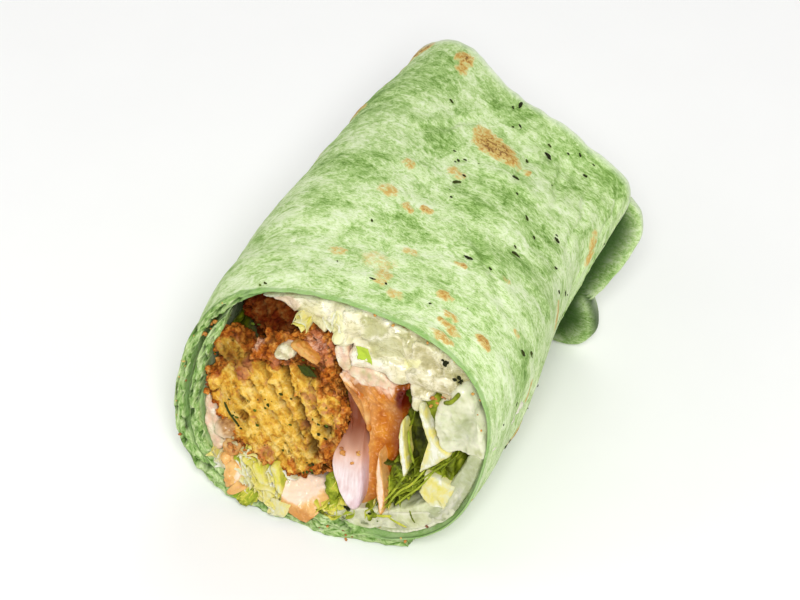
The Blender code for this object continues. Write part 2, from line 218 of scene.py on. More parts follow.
def waves(points, size, seed=0):
    """Smooth noise, about -1 to 1, whose hills are about size across."""
    scaled = points / size
    cell = np.floor(scaled).astype(np.int64)
    share = scaled - cell
    fade = share ** 3 * (share * (share * 6 - 15) + 10)
    total = np.zeros(scaled.shape[:-1])
    for step in itertools.product((0, 1), repeat=3):
        corner = np.array(step)
        slope = stacked(*(scatter(cell + corner, 7 * seed + axis) for axis in range(3))) * 2 - 1
        weight = np.prod(np.where(corner == 1, fade, 1 - fade), axis=-1)
        total += weight * np.sum(slope * (share - corner), axis=-1)
    return 1.7 * total


def rough(points, size, seed=0, layers=3):
    """Waves on waves, each layer half the size and half the height of the one before."""
    return sum(waves(points, size / 2 ** layer, seed + layer) / 2 ** layer for layer in range(layers))


def crumbled(points, size, seed=0):
    """Packed crumbs: how near each point is to a crumb's middle, 1 there and 0 between the crumbs,
    and a random number for the crumb that it belongs to."""
    scaled = points / size
    home = np.floor(scaled).astype(np.int64)
    first = np.full(scaled.shape[:-1], 9.0)
    second = first.copy()
    owner = np.zeros_like(first)
    for step in itertools.product((-1, 0, 1), repeat=3):
        cell = home + np.array(step)
        seeds = cell + stacked(*(scatter(cell, 11 * seed + axis) for axis in range(3)))
        away = np.linalg.norm(scaled - seeds, axis=-1)
        closer = away < first
        second = np.where(closer, first, np.minimum(second, away))
        owner = np.where(closer, scatter(cell, 11 * seed + 5), owner)
        first = np.where(closer, away, first)
    return np.clip((second - first) * 1.6, 0, 1), owner


def nearness(points, spot, radius):
    """1 at a spot of the cut face, given as (across, up), fading to 0 at a radius from it."""
    away = np.hypot(points[..., 0] - spot[0], points[..., 2] - spot[1])
    return 1 - ease(away, 0, radius)


# solids

def linked(name, data):
    """A new object in the scene."""
    made = bpy.data.objects.new(name, data)
    bpy.context.scene.collection.objects.link(made)
    return made


class Solid:
    """Points in millimetres, groups of quads or triangles, and marks: values kept on the points."""

    def __init__(self, points, faces, **marks):
        self.points = np.asarray(points, float)
        self.faces = faces
        self.marks = {}
        for name, values in marks.items():
            self.mark(name, values)
        if self.volume() < 0:
            self.faces = [group[:, ::-1] for group in faces]

    def mark(self, name, values):
        """Keeps a value, or a point, on each of the solid's points."""
        size = (len(self.points), *np.shape(values)[1:])
        self.marks[name] = np.array(np.broadcast_to(values, size), float)
        return self

    def share(self, name, values):
        """A mark that is kept from 0 to 1."""
        return self.mark(name, np.clip(values, 0, 1))

    def facings(self, group):
        """The direction that each face of a group looks in, as long as twice the face's area."""
        corners = self.points[group]
        return np.cross(corners[:, 2] - corners[:, 0], corners[:, -1] - corners[:, 1])

    def volume(self):
        """Above 0 if the faces look outwards, and below 0 if they look inwards."""
        total = 0
        for group in self.faces:
            middles = self.points[group].mean(axis=1) - self.points.mean(axis=0)
            total += np.sum(middles * self.facings(group))
        return total

    def normals(self):
        """The outward direction at each point."""
        total = np.zeros_like(self.points)
        for group in self.faces:
            facing = self.facings(group)
            for column in range(group.shape[1]):
                np.add.at(total, group[:, column], facing)
        return total / np.maximum(np.linalg.norm(total, axis=1, keepdims=True), 1e-9)

    def push(self, amount):
        """Moves the surface out by an amount at each point."""
        self.points = self.points + self.normals() * np.reshape(amount, (-1, 1))
        return self

    def laid_on(self, height):
        """Lays on a height whatever is below it."""
        self.points[:, 2] = np.maximum(self.points[:, 2], height)
        return self

    def mesh(self, name, offset=(0, 0, 0), unit=1.0):
        """The solid as a mesh, moved by an offset and then scaled."""
        mesh = bpy.data.meshes.new(name)
        faces = [face for group in self.faces for face in group.tolist()]
        mesh.from_pydata(((self.points + offset) * unit).tolist(), [], faces)
        return mesh

    def melted(self, voxel, smoothing=2):
        """One skin round all the solids that overlap here."""
        lump_object = linked("melting", self.mesh("melting"))
        remesh = lump_object.modifiers.new("Remesh", "REMESH")
        remesh.mode = "VOXEL"
        remesh.voxel_size = voxel
        smooth = lump_object.modifiers.new("Smooth", "SMOOTH")
        smooth.iterations = smoothing
        evaluated = lump_object.evaluated_get(bpy.context.evaluated_depsgraph_get())
        mesh = evaluated.to_mesh()
        points = np.empty(len(mesh.vertices) * 3)
        mesh.vertices.foreach_get("co", points)
        quads = [tuple(face.vertices) for face in mesh.polygons if len(face.vertices) == 4]
        triangles = [tuple(face.vertices) for face in mesh.polygons if len(face.vertices) == 3]
        groups = [np.array(group) for group in (quads, triangles) if group]
        evaluated.to_mesh_clear()
        bpy.data.objects.remove(lump_object, do_unlink=True)
        return Solid(points.reshape(-1, 3), groups)

    def make(self, name, finish, slot, *nodes):
        """The piece itself, which stands for the named solids of the frame."""
        mesh = self.mesh(name, FOOT, MM)
        mesh.shade_smooth()
        for mark, values in self.marks.items():
            kind, field = ("FLOAT", "value") if values.ndim == 1 else ("FLOAT_VECTOR", "vector")
            mesh.attributes.new(mark, kind, "POINT").data.foreach_set(field, values.ravel())
        mesh.materials.append(finish)
        piece = linked(name, mesh)
        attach(piece, "root")
        if nodes:
            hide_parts(*nodes)
        return piece


def joined(solids):
    """Many solids as one, with all their marks."""
    names = sorted({name for solid in solids for name in solid.marks})
    faces = {3: [], 4: []}
    start = 0
    for solid in solids:
        for group in solid.faces:
            faces[group.shape[1]].append(group + start)
        start += len(solid.points)
    groups = [np.vstack(group) for group in faces.values() if group]
    whole = Solid(np.vstack([solid.points for solid in solids]), groups)
    whole.faces = groups
    for name in names:
        values = [solid.marks.get(name, np.zeros(len(solid.points))) for solid in solids]
        whole.mark(name, np.concatenate(values))
    return whole


def grid_quads(rows, columns, ring):
    """The quads of a grid of points, whose last column joins the first if it is a ring."""
    row = np.arange(rows - 1)[:, None] * columns
    column = np.arange(columns if ring else columns - 1)[None, :]
    beside = (column + 1) % columns
    corners = (row + column, row + columns + column, row + columns + beside, row + beside)
    return np.stack([corner.ravel() for corner in corners], axis=1)


def loft(rings, **marks):
    """A closed solid through rings[row, column], drawn together to a tip at the first and the last."""
    rows, columns = rings.shape[:2]

    def with_tips(values):
        body = values[1:-1].reshape(-1, *values.shape[2:])
        return np.concatenate([values[:1].mean(axis=1), body, values[-1:].mean(axis=1)])

    last = (rows - 2) * columns + 1
    column = np.arange(columns)
    beside = (column + 1) % columns
    first_tip = np.stack([np.zeros_like(column), 1 + column, 1 + beside], axis=1)
    last_ring = last - columns
    last_tip = np.stack([last_ring + column, np.full_like(column, last), last_ring + beside], axis=1)
    faces = [grid_quads(rows - 2, columns, True) + 1, np.vstack([first_tip, last_tip])]
    return Solid(with_tips(rings), faces, **{name: with_tips(values) for name, values in marks.items()})


def sheet(grid, thickness, **marks):
    """A thin closed solid whose middle is grid[row, column], thinner towards its edges."""
    rows, columns = grid.shape[:2]
    facing = np.cross(np.gradient(grid, axis=0), np.gradient(grid, axis=1))
    facing /= np.maximum(np.linalg.norm(facing, axis=-1, keepdims=True), 1e-9)
    edge = np.minimum.outer(np.minimum(np.arange(rows), np.arange(rows)[::-1]),
                            np.minimum(np.arange(columns), np.arange(columns)[::-1]))
    half = thickness / 2 * (0.25 + 0.75 * ease(edge, 0, 3))[..., None]
    upper = (grid + facing * half).reshape(-1, 3)
    lower = (grid - facing * half).reshape(-1, 3)
    number = np.arange(rows * columns).reshape(rows, columns)
    border = np.concatenate([number[0, :-1], number[:-1, -1], number[-1, :0:-1], number[:0:-1, 0]])
    onward = np.roll(border, -1)
    count = rows * columns
    top = grid_quads(rows, columns, False)
    sides = np.stack([border, onward, onward + count, border + count], axis=1)
    faces = [np.vstack([top, top[:, ::-1] + count, sides])]
    doubled = {name: np.tile(np.broadcast_to(values, (rows, columns)).ravel(), 2)
               for name, values in marks.items()}
    return Solid(np.vstack([upper, lower]), faces, **doubled)


def curve(points, count, closed=False):
    """Points spaced along a smooth curve through a few chosen ones."""
    chosen = np.asarray(points, float)
    spans = len(chosen) if closed else len(chosen) - 1
    where = np.linspace(0, spans, count, endpoint=not closed)
    span = np.minimum(where.astype(int), spans - 1)
    share = (where - span)[:, None]

    def chosen_at(step):
        index = span + step
        return chosen[index % len(chosen)] if closed else chosen[np.clip(index, 0, len(chosen) - 1)]

    before, start, end, after = (chosen_at(step) for step in (-1, 0, 1, 2))
    bend = 2 * before - 5 * start + 4 * end - after
    sharp = after - before + 3 * (start - end)
    return start + 0.5 * share * (end - before + share * (bend + share * sharp))


# shapes that the fillings are made of

# how far out a piece reaches, as a share of its outline, at each share of its depth
CUT_PROFILE = (
    (0, 0), (0.3, 0), (0.6, 0), (0.85, 0), (0.95, 0.015), (1, 0.07), (1, 0.3), (0.99, 0.7), (0.95, 0.95),
    (0.7, 1), (0.3, 1), (0, 1),
)
BALL_PROFILE = tuple((math.sin(math.pi * step / 10), (1 - math.cos(math.pi * step / 10)) / 2)
                     for step in range(11))
CUT_BALL_PROFILE = (
    (0, 0), (0.3, -0.02), (0.6, -0.02), (0.85, 0), (0.96, 0.05), (1, 0.16), (0.97, 0.42), (0.84, 0.68),
    (0.58, 0.89), (0.28, 0.98), (0, 1),
)


def plug(outline, deep, front=0.0, profile=CUT_PROFILE, columns=120, rows=70):
    """A piece with an outline on the cut face and a depth inward, shaped between by a profile."""
    rim = curve(outline, columns, closed=True)
    centre = rim.mean(axis=0)
    shaped = curve(profile, rows)
    flat = centre + (rim - centre)[None] * shaped[:, 0, None, None]
    inward = front + deep * shaped[:, 1, None]
    return loft(stacked(flat[..., 0], FACE_LEAN * flat[..., 1] + inward, flat[..., 1]))


def lump(centre, size, seed=0, roughness=0.35, columns=14, rows=10, **marks):
    """A rounded lump, size being its widths across, inward and up."""
    polar = np.linspace(0, math.pi, rows)[:, None]
    turn = np.linspace(0, math.tau, columns, endpoint=False)[None, :]
    unit = stacked(np.sin(polar) * np.cos(turn), np.cos(polar), np.sin(polar) * np.sin(turn))
    swell = 1 + roughness * waves(unit + seed * 3.7, 0.9, seed)
    grid = np.asarray(centre) + unit * swell[..., None] * np.asarray(size) / 2
    return loft(grid, **{name: np.full(grid.shape[:2], value) for name, value in marks.items()})


def shred(path, width, thickness, turned=0.0, columns=10, rows=26, seed=0, **marks):
    """A strip along a smooth path, its flat side turned about the path, its ends rounded."""
    spine = curve(path, rows)
    ahead = np.gradient(spine, axis=0)
    ahead /= np.linalg.norm(ahead, axis=1, keepdims=True)
    side = np.cross(ahead, (0.1, 1.0, 0.2))
    side /= np.linalg.norm(side, axis=1, keepdims=True)
    upright = np.cross(side, ahead)
    lean = math.radians(turned)
    broad = side * math.cos(lean) + upright * math.sin(lean)
    thin = upright * math.cos(lean) - side * math.sin(lean)
    share = np.linspace(-1, 1, rows)
    ends = np.sqrt(np.clip(1 - share ** 6, 0, 1)) * (1 + 0.25 * waves(spine, width * 1.5, seed))
    turn = np.linspace(0, math.tau, columns, endpoint=False)
    beside = broad[:, None] * np.cos(turn)[None, :, None] * width / 2
    above = thin[:, None] * np.sin(turn)[None, :, None] * thickness / 2
    grid = spine[:, None] + (beside + above) * ends[:, None, None]
    return loft(grid, **{name: np.full(grid.shape[:2], value) for name, value in marks.items()})


def patch(corners, thickness=0.5, wave=0.8, bulge=0.0, fineness=22, seed=0, **marks):
    """A leaf or skin hung between four corners (across, up, inward), ruffled and ragged-edged."""
    first, second, third, fourth = (at(*corner) for corner in corners)
    u, v = np.meshgrid(np.linspace(0, 1, fineness), np.linspace(0, 1, fineness))
    ragged = stacked(u, v, 0)
    u = u + 0.07 * waves(ragged * 9 + seed * 5.3, 1.0, seed)
    v = v + 0.07 * waves(ragged * 9 + seed * 5.3, 1.0, seed + 1)
    u3, v3 = u[..., None], v[..., None]
    grid = (first * (1 - u3) + second * u3) * (1 - v3) + (fourth * (1 - u3) + third * u3) * v3
    facing = np.cross(second - first, fourth - first)
    facing /= np.linalg.norm(facing)
    swell = wave * rough(grid, 5.0, seed, 2) + bulge * 4 * u * (1 - u) * 4 * v * (1 - v)
    grid = grid + facing * swell[..., None]
    edge = np.maximum(np.abs(2 * u - 1), np.abs(2 * v - 1)) ** 4
    return sheet(grid, thickness, edge=edge, **marks)


def standing_leaf(path, deep, thickness=0.45, wave=0.7, front=0.0, seed=0, columns=46, rows=9, **marks):
    """A leaf seen edge on: its cut edge follows a path (across, up) and it runs inward from there."""
    spine = curve(path, columns)
    inward = np.linspace(0, deep, rows)[:, None]
    across, up = spine[None, :, 0], spine[None, :, 1]
    base = stacked(across, FACE_LEAN * up + front + inward, up)
    ragged = 0.8 * waves(base, 2.5, seed + 3)
    shift_x, shift_z = (wave * waves(base, 3.2, seed + step) for step in (0, 1))
    grid = base + stacked(shift_x, ragged * (1 - inward / deep), shift_z)
    edge = np.broadcast_to((1 - inward / deep) ** 6, grid.shape[:2])
    return sheet(grid, thickness, edge=edge, **marks)


def from_path(points, path, count=40):
    """Distance of points from a smooth path on the cut face."""
    spine = curve(path, count)
    across = points[:, None, 0] - spine[None, :, 0]
    up = points[:, None, 2] - spine[None, :, 1]
    return np.hypot(across, up).min(axis=1)


def inside_outline(points, outline):
    """Distance inside an outline on the cut face, below 0 outside it."""
    rim = curve(outline, 160, closed=True)
    onward = np.roll(rim, -1, axis=0)
    x, z = points[:, 0, None], points[:, 2, None]
    away = np.hypot(x - rim[:, 0], z - rim[:, 1]).min(axis=1)
    span = onward[:, 1] - rim[:, 1]
    span = np.where(np.abs(span) < 1e-9, 1e-9, span)
    crossing = rim[:, 0] + (z - rim[:, 1]) / span * (onward[:, 0] - rim[:, 0])
    passed = ((rim[:, 1] > z) != (onward[:, 1] > z)) & (x < crossing)
    return np.where(passed.sum(axis=1) % 2 == 1, away, -away)


def kept_inside(solid, margin=0.35):
    """Draws a solid in wherever it would pass through the lining, but lets it hang over the cut rim."""
    x, y, z = solid.points.T
    along = np.clip((y - FACE_LEAN * z) / ROLL_LENGTH, 0, 1)
    taper = ease(along, TAPER_FROM, 1)
    middle = HALF_HEIGHT * (1 - (1 - FAR_HEIGHT) * taper) - SETTLE
    height = z - middle
    out = x - SHEAR * height - FAR_SHIFT * ease(along)
    angle = np.degrees(np.arctan2(height, out)) % 360
    wall = roll(angle, along, lining_depth(angle) + margin)
    wall_height = wall[:, 2] - middle
    wall_out = wall[:, 0] - SHEAR * wall_height - FAR_SHIFT * ease(along)
    hanging = OVERHANG * ease(FACE_LEAN * z - y, 0.9, 2.0)
    reach = np.hypot(wall_out, wall_height) + hanging
    share = np.minimum(1, reach / np.maximum(np.hypot(out, height), 1e-6))
    drawn = out * share
    lifted = height * share
    solid.points = stacked(drawn + SHEAR * lifted + FAR_SHIFT * ease(along), y, middle + lifted)
    return solid.laid_on(0.1)


def plate(outline, deep, front=0.0, relief=0.25, seed=0, core=0.8, edge=0.7, spread=1.4, profile=CUT_PROFILE,
          columns=90, rows=36):
    """A piece with an outline on the cut face, set back by front. Its mark shade goes from edge at its
    outline to core further in."""
    shifted = set_back(outline, front)
    solid = plug(shifted, deep, front, profile, columns, rows)
    solid.push(relief * rough(solid.points, 2.6, seed) + relief * 0.4 * waves(solid.points, 0.9, seed + 3))
    within = inside_outline(solid.points, shifted)
    mottled = 0.12 * waves(solid.points, 2.2, seed + 5)
    return solid.mark("shade", edge + (core - edge) * ease(within, 0, spread) + mottled).mark("edge", 0.0)


def scattered(name, finish, slot, spots, size, seed, flatness=0.8, **marks):
    """Small lumps about the spots (across, up, inward), given as centre, spread and how many."""
    random = np.random.default_rng(seed)
    bits = []
    for (across, up, inward), spread, count in spots:
        for _ in range(count):
            place = at(across + random.normal(0, spread), up + random.normal(0, spread), inward)
            width = random.uniform(*size)
            shades = {mark: random.uniform(*values) for mark, values in marks.items()}
            widths = (width * random.uniform(0.6, 1.5), width * flatness, width * random.uniform(0.5, 1.1))
            bits.append(lump(place, widths, len(bits), 0.6, 10, 8, **shades))
    joined(bits).make(name, finish, slot)


# finishes

class Wire:
    """A value or colour in a finish. Sums with it are worked out by Math nodes."""

    def __init__(self, finish, socket):
        self.finish = finish
        self.socket = socket

    def sum(self, operation, *values):
        """One Math node."""
        return self.finish.node("Math", {"operation": operation}, dict(enumerate(values)))

    def __add__(self, other):
        return self.sum("ADD", self, other)

    def __sub__(self, other):
        return self.sum("SUBTRACT", self, other)

    def __mul__(self, other):
        return self.sum("MULTIPLY", self, other)

    def __pow__(self, other):
        return self.sum("POWER", self, other)

    def __rsub__(self, other):
        return self.sum("SUBTRACT", other, self)

    __radd__ = __add__
    __rmul__ = __mul__

    def over(self, start, end):
        """0 at start, 1 at end and a smooth S between them. Start may be the higher of the two."""
        sockets = {"Value": self, "From Min": start, "From Max": end}
        return self.finish.node("MapRange", {"interpolation_type": "SMOOTHSTEP"}, sockets)


class Finish:
    """A material whose nodes work out its looks from the place of a point and its marks."""

    def __init__(self, name):
        self.material = bpy.data.materials.new(name)
        self.material.use_nodes = True
        self.tree = self.material.node_tree
        self.tree.nodes.clear()

    def node(self, kind, settings=None, sockets=None, output=0):
        """Adds a node: its settings are set first, then the values or links of its sockets."""
        node = self.tree.nodes.new("ShaderNode" + kind)
        for name, value in (settings or {}).items():
            if name == "stops":
                while len(node.color_ramp.elements) < len(value):
                    node.color_ramp.elements.new(0.5)
                for element, (place, color) in zip(node.color_ramp.elements, value):
                    element.position = place
                    element.color = (*color, 1)
            else:
                setattr(node, name, value)
        for name, value in (sockets or {}).items():
            if isinstance(value, Wire):
                self.tree.links.new(value.socket, node.inputs[name])
            else:
                node.inputs[name].default_value = value
        return Wire(self, node.outputs[output])

    def mark(self, name):
        """A value kept on the points."""
        return self.node("Attribute", {"attribute_name": name}, output=2)

    def squeezed(self, place, stretch, turn=0.0):
        """Coordinates multiplied by stretch and turned in degrees about their third axis."""
        sockets = {"Vector": place, "Rotation": (0, 0, math.radians(turn)), "Scale": stretch}
        return self.node("Mapping", {"vector_type": "POINT"}, sockets)

    def place(self, stretch=(1, 1, 1), mark=None):
        """Coordinates in millimetres for the textures: the object's own, or those kept as a mark."""
        if mark:
            source = self.node("Attribute", {"attribute_name": mark}, output=1)
        else:
            source = self.node("TexCoord", output=3)
            stretch = tuple(value / MM for value in stretch)
        return self.squeezed(source, stretch)

    def noise(self, place, size, detail=3.0, roughness=0.55, distortion=0.0):
        """Cloudy noise whose clouds are about size millimetres across."""
        sockets = {"Vector": place, "Scale": 1 / size, "Detail": detail, "Roughness": roughness,
                   "Distortion": distortion}
        return self.node("TexNoise", None, sockets)

    def cells(self, place, size):
        """The distance from scattered spots about size millimetres apart, as a share of size."""
        return self.node("TexVoronoi", None, {"Vector": place, "Scale": 1 / size})

    def ramp(self, value, *stops):
        """Colours at places along a value."""
        return self.node("ValToRGB", {"stops": stops}, {"Fac": value})

    def mix(self, share, below, above):
        """The colour below where share is 0 and the colour above where it is 1."""
        below = below if isinstance(below, Wire) else (*below, 1)
        above = above if isinstance(above, Wire) else (*above, 1)
        return self.node("Mix", {"data_type": "RGBA"}, {0: share, 6: below, 7: above}, 2)

    def bump(self, height, distance, strength=1.0, normal=None):
        """Relief of a height in millimetres where the value is 1."""
        sockets = {"Height": height, "Distance": distance * MM, "Strength": strength}
        if normal:
            sockets["Normal"] = normal
        return self.node("Bump", None, sockets)

    def done(self, color, roughness, normal=None, soft=None, **fixed):
        """Ends the finish. Soft is the share of light that goes in, how many millimetres deep and how far
        for each colour. Fixed values are the same all over, and are named as the shader's sockets."""
        sockets = {"Base Color": color, "Roughness": roughness}
        if soft:
            weight, depth, radius = soft
            sockets.update({"Subsurface Weight": weight, "Subsurface Scale": depth * MM,
                            "Subsurface Radius": radius})
        sockets.update({name.replace("_", " "): value for name, value in fixed.items()})
        if normal:
            sockets["Normal"] = normal
        shader = self.node("BsdfPrincipled", None, sockets)
        output = self.tree.nodes.new("ShaderNodeOutputMaterial")
        self.tree.links.new(shader.socket, output.inputs["Surface"])
        return self.material


def tortilla_finish():
    """Spinach tortilla: cloudy, fibrous greens from deep to creamy, toasted marks and a torn cut."""
    finish = Finish("tortilla")
    flat = finish.place((0.8, 1, 1), "unrolled")
    patches = finish.noise(flat, 7.5, 4, 0.6, 0.6)
    clouds = finish.noise(flat, 2.8, 4, 0.68, 1.2)
    slanted = finish.squeezed(flat, (0.5, 1, 1), 24)
    fibres = finish.noise(slanted, 1.15, 5, 0.74, 2.0)
    strands = finish.noise(slanted, 1.7, 4, 0.6, 3.2)
    hairs = 1 - strands.sum("ABSOLUTE", strands * 2 - 1).over(0.0, 0.16)
    grain = finish.noise(flat, 0.45, 3, 0.7)
    # the mark deep darkens the greens: at the listed darker patches, some of them painted shadow that the
    # other half of the wrap cast, towards the far end, and as painted shade on the folded lobes where they
    # face the collar
    tone = (patches + clouds * 1.1 + fibres.over(0.36, 0.64) * 0.3 + hairs * 0.13 + grain * 0.3
            - finish.mark("deep") * 0.22 - 0.85)
    green = finish.ramp(
        tone, (0.02, (0.13, 0.25, 0.04)), (0.22, (0.26, 0.43, 0.105)), (0.4, (0.42, 0.595, 0.22)),
        (0.56, (0.59, 0.735, 0.36)), (0.82, (0.76, 0.855, 0.57)))
    flakes = finish.noise(flat, 1.3, 5, 0.75, 1.2)
    toast = finish.mark("toast") * (0.35 + 0.75 * flakes.over(0.42, 0.58))
    toasted = finish.ramp(
        toast + 0.35 * (grain - 0.5), (0.1, (0.7, 0.62, 0.27)), (0.42, (0.62, 0.42, 0.11)),
        (0.78, (0.5, 0.23, 0.035)), (0.98, (0.2, 0.07, 0.012)))
    tan = finish.mark("toast").over(0.02, 0.5) * finish.noise(flat, 3.0, 3, 0.6).over(0.35, 0.65)
    tanned = finish.mix(tan * 0.45, green, (0.7, 0.64, 0.3))
    browned = finish.mix(toast.over(0.04, 0.34) * 0.92, tanned, toasted)
    cut = finish.mark("cut")
    crumb = finish.noise(finish.place((0.35, 1, 1.2), "unrolled"), 0.9, 4, 0.68, 0.8)
    crumb_color = finish.ramp(
        crumb, (0.32, (0.05, 0.12, 0.012)), (0.43, (0.2, 0.35, 0.08)), (0.56, (0.45, 0.58, 0.25)),
        (0.7, (0.64, 0.72, 0.43)))
    lip_color = finish.mix(0.75, green, (0.19, 0.37, 0.085))
    edged = finish.mix(cut.over(0.02, 0.3), browned, lip_color)
    color = finish.mix(cut.over(0.45, 1.0), edged, crumb_color)
    # the mark pale: painted highlight along the far lip of the sheet and the rims of the folded lobes
    color = finish.mix(finish.mark("pale") * 0.85, color, (0.76, 0.84, 0.64))
    # the mark crease, nearly black: painted shade in the torn gaps and along a line in the cut rim, and
    # behind, between and in the shadow of the folded lobes
    color = finish.mix(finish.mark("crease") * 0.96, color, (0.016, 0.05, 0.004))
    relief = finish.bump(clouds + 0.8 * fibres, 0.22, 0.8)
    relief = finish.bump(grain + cut.over(0.45, 1.0) * crumb * 2.0, 0.09, 0.8, relief)
    return finish.done(
        color, 0.6 + 0.2 * grain, relief, Specular_IOR_Level=0.18, soft=(0.05, 0.6, (0.6, 1.0, 0.3)))


def falafel_finish(name="falafel", dark_crust_and_shade=0.0):
    """Mashed chickpea, golden and flecked with herbs inside, with a crumbly red-brown crust."""
    finish = Finish(name)
    place = finish.place()
    mash = finish.noise(place, 2.4, 5, 0.66, 0.8)
    grain = finish.noise(place, 0.55, 4, 0.7)
    blotch = finish.noise(place, 5.0, 3, 0.5, 0.5)
    tint = finish.mark("tint")
    golden = finish.ramp(
        mash * 0.9 + blotch * 0.6 + grain * 0.5 + tint * 0.55 - 0.72, (0.1, (0.26, 0.075, 0.01)),
        (0.26, (0.5, 0.2, 0.02)), (0.42, (0.63, 0.33, 0.033)), (0.6, (0.76, 0.47, 0.066)),
        (0.85, (0.87, 0.64, 0.2)))
    crust = finish.ramp(
        grain * 0.8 + mash * 0.7 + tint * 0.6 - 0.52, (0.12, (0.06, 0.01, 0.001)),
        (0.3, (0.24, 0.05, 0.005)), (0.48, (0.46, 0.13, 0.012)), (0.66, (0.64, 0.27, 0.045)),
        (0.84, (0.74, 0.42, 0.12)))
    slanted = finish.node("VectorRotate", {"rotation_type": "Y_AXIS"}, {"Vector": place, "Angle": 0.6})
    squeezed = finish.squeezed(slanted, (1, 1, 0.22))
    fibre = finish.noise(squeezed, 0.9, 3, 0.6, 0.4)
    golden = finish.mix((fibre + 0.4 * (mash - 0.5)).over(0.54, 0.7) * 0.55, golden, (0.9, 0.7, 0.24))
    golden = finish.mix((fibre + 0.5 * (mash - 0.5)).over(0.44, 0.3) * 0.6, golden, (0.42, 0.17, 0.02))
    share = (finish.mark("crust") + (mash - 0.5) * 1.4 + (tint - 0.5) * 0.5).over(0.34, 0.66)
    color = finish.mix(share, golden, crust)
    stain = finish.noise(place, 2.6, 3, 0.6, 0.6)
    rosy = (finish.mark("rosy") + 0.1 + (stain - 0.5) * 2.6).over(0.25, 0.75)
    color = finish.mix(rosy * 0.68, color, (0.52, 0.19, 0.09))
    # pits: dark specks for the small pits, painted shade
    pits = (finish.noise(place, 1.5, 4, 0.7, 0.6) + 0.3 * (stain - 0.5)).over(0.64, 0.72)
    color = finish.mix(pits * 0.7, color, (0.2, 0.035, 0.004))
    herbs = (finish.cells(place, 1.7) + 0.35 * (grain - 0.5)).over(0.22, 0.1)
    herbs = herbs * finish.noise(place, 4.0, 1).over(0.48, 0.58)
    color = finish.mix(herbs * 0.8, color, (0.07, 0.075, 0.012))
    # the mark hollow: painted shade in grooves, dents and low places
    color = finish.mix(finish.mark("hollow") * 0.85, color, (0.045, 0.011, 0.001))
    sauce = (finish.mark("sauce") + (grain - 0.5) * 1.2 + (mash - 0.5) * 0.8).over(0.35, 0.9)
    color = finish.mix(sauce * 0.75, color, (0.8, 0.55, 0.42))
    # mixes the whole finish towards near-black: a darker crust and painted shade
    if dark_crust_and_shade:
        color = finish.mix(dark_crust_and_shade, color, (0.05, 0.0015, 0.0001))
    relief = finish.bump(mash + 0.5 * fibre, 0.35, 0.7)
    relief = finish.bump(grain, 0.25, 0.9, relief)
    return finish.done(
        color, 0.5 + 0.3 * grain, relief, Specular_IOR_Level=0.03 if dark_crust_and_shade else 0.08,
        soft=(0.05, 0.5, (1.0, 0.2, 0.1)))


def leaf_finish():
    """Lettuce: the mark shade runs from a dark outer leaf at 0 to a pale rib at 1; its darkest values are
    also painted shade in gaps.
    """
    finish = Finish("lettuce")
    place = finish.place()
    veins = finish.noise(finish.place((1, 0.35, 0.6)), 1.3, 4, 0.6, 1.2)
    broad = finish.noise(place, 3.2, 3, 0.5, 0.5)
    shade = finish.mark("shade") + (veins - 0.5) * 0.42 + (broad - 0.5) * 0.4 + finish.mark("edge") * 0.08
    color = finish.ramp(
        shade, (0.04, (0.016, 0.018, 0.001)), (0.2, (0.07, 0.082, 0.003)), (0.36, (0.17, 0.215, 0.009)),
        (0.52, (0.35, 0.41, 0.03)), (0.66, (0.63, 0.57, 0.075)), (0.8, (0.68, 0.61, 0.21)),
        (0.94, (0.64, 0.64, 0.42)), (1.0, (0.74, 0.73, 0.6)))
    relief = finish.bump(veins, 0.38, 0.7)
    return finish.done(
        color, 0.38 + 0.25 * broad, relief, Coat_Weight=0.06, Coat_Roughness=0.12, Specular_IOR_Level=0.14,
        soft=(0.1, 0.5, (0.7, 1.0, 0.3)))


def dressing_finish():
    """Creamy sauce over pale lettuce, thinner and greener in places."""
    finish = Finish("dressing")
    place = finish.place()
    flow = finish.noise(finish.place((0.6, 1, 1)), 4.4, 4, 0.55, 1.0)
    grain = finish.noise(place, 1.2, 4, 0.6)
    # the mark fold lightens the ridges of the folds and darkens their valleys: painted light and shade
    color = finish.ramp(
        flow * 0.8 + grain * 0.35 + finish.mark("fold") * 0.5 - 0.28, (0.16, (0.3, 0.27, 0.1)),
        (0.34, (0.48, 0.43, 0.22)), (0.5, (0.7, 0.65, 0.43)), (0.78, (0.9, 0.86, 0.72)))
    color = finish.mix((finish.mark("green") + 0.8 * (flow - 0.5)).over(0.1, 0.8) * 0.62, color,
                       (0.47, 0.48, 0.23))
    # darker lines along the seams between the folds: painted shade
    seam = finish.noise(finish.place((0.7, 1, 1.1)), 2.6, 3, 0.6, 0.8) - 0.5
    seam_share = (1 - seam * seam * 2600).over(0, 1)
    color = finish.mix(seam_share * (1.1 - grain) * 0.75, color, (0.36, 0.33, 0.15))
    color = finish.mix(finish.mark("yellow") * 0.7, color, (0.8, 0.78, 0.28))
    color = finish.mix((finish.mark("pink") + 0.5 * (flow - 0.5)).over(0.0, 1.0) * 0.85, color,
                       (0.74, 0.47, 0.33))
    relief = finish.bump(flow + 0.4 * grain - 0.5 * seam_share, 0.25, 0.6)
    return finish.done(
        color, 0.16 + 0.2 * grain, relief, Coat_Weight=0.22, Coat_Roughness=0.07, Specular_IOR_Level=0.3,
        soft=(0.25, 1.0, (1.0, 0.9, 0.6)))


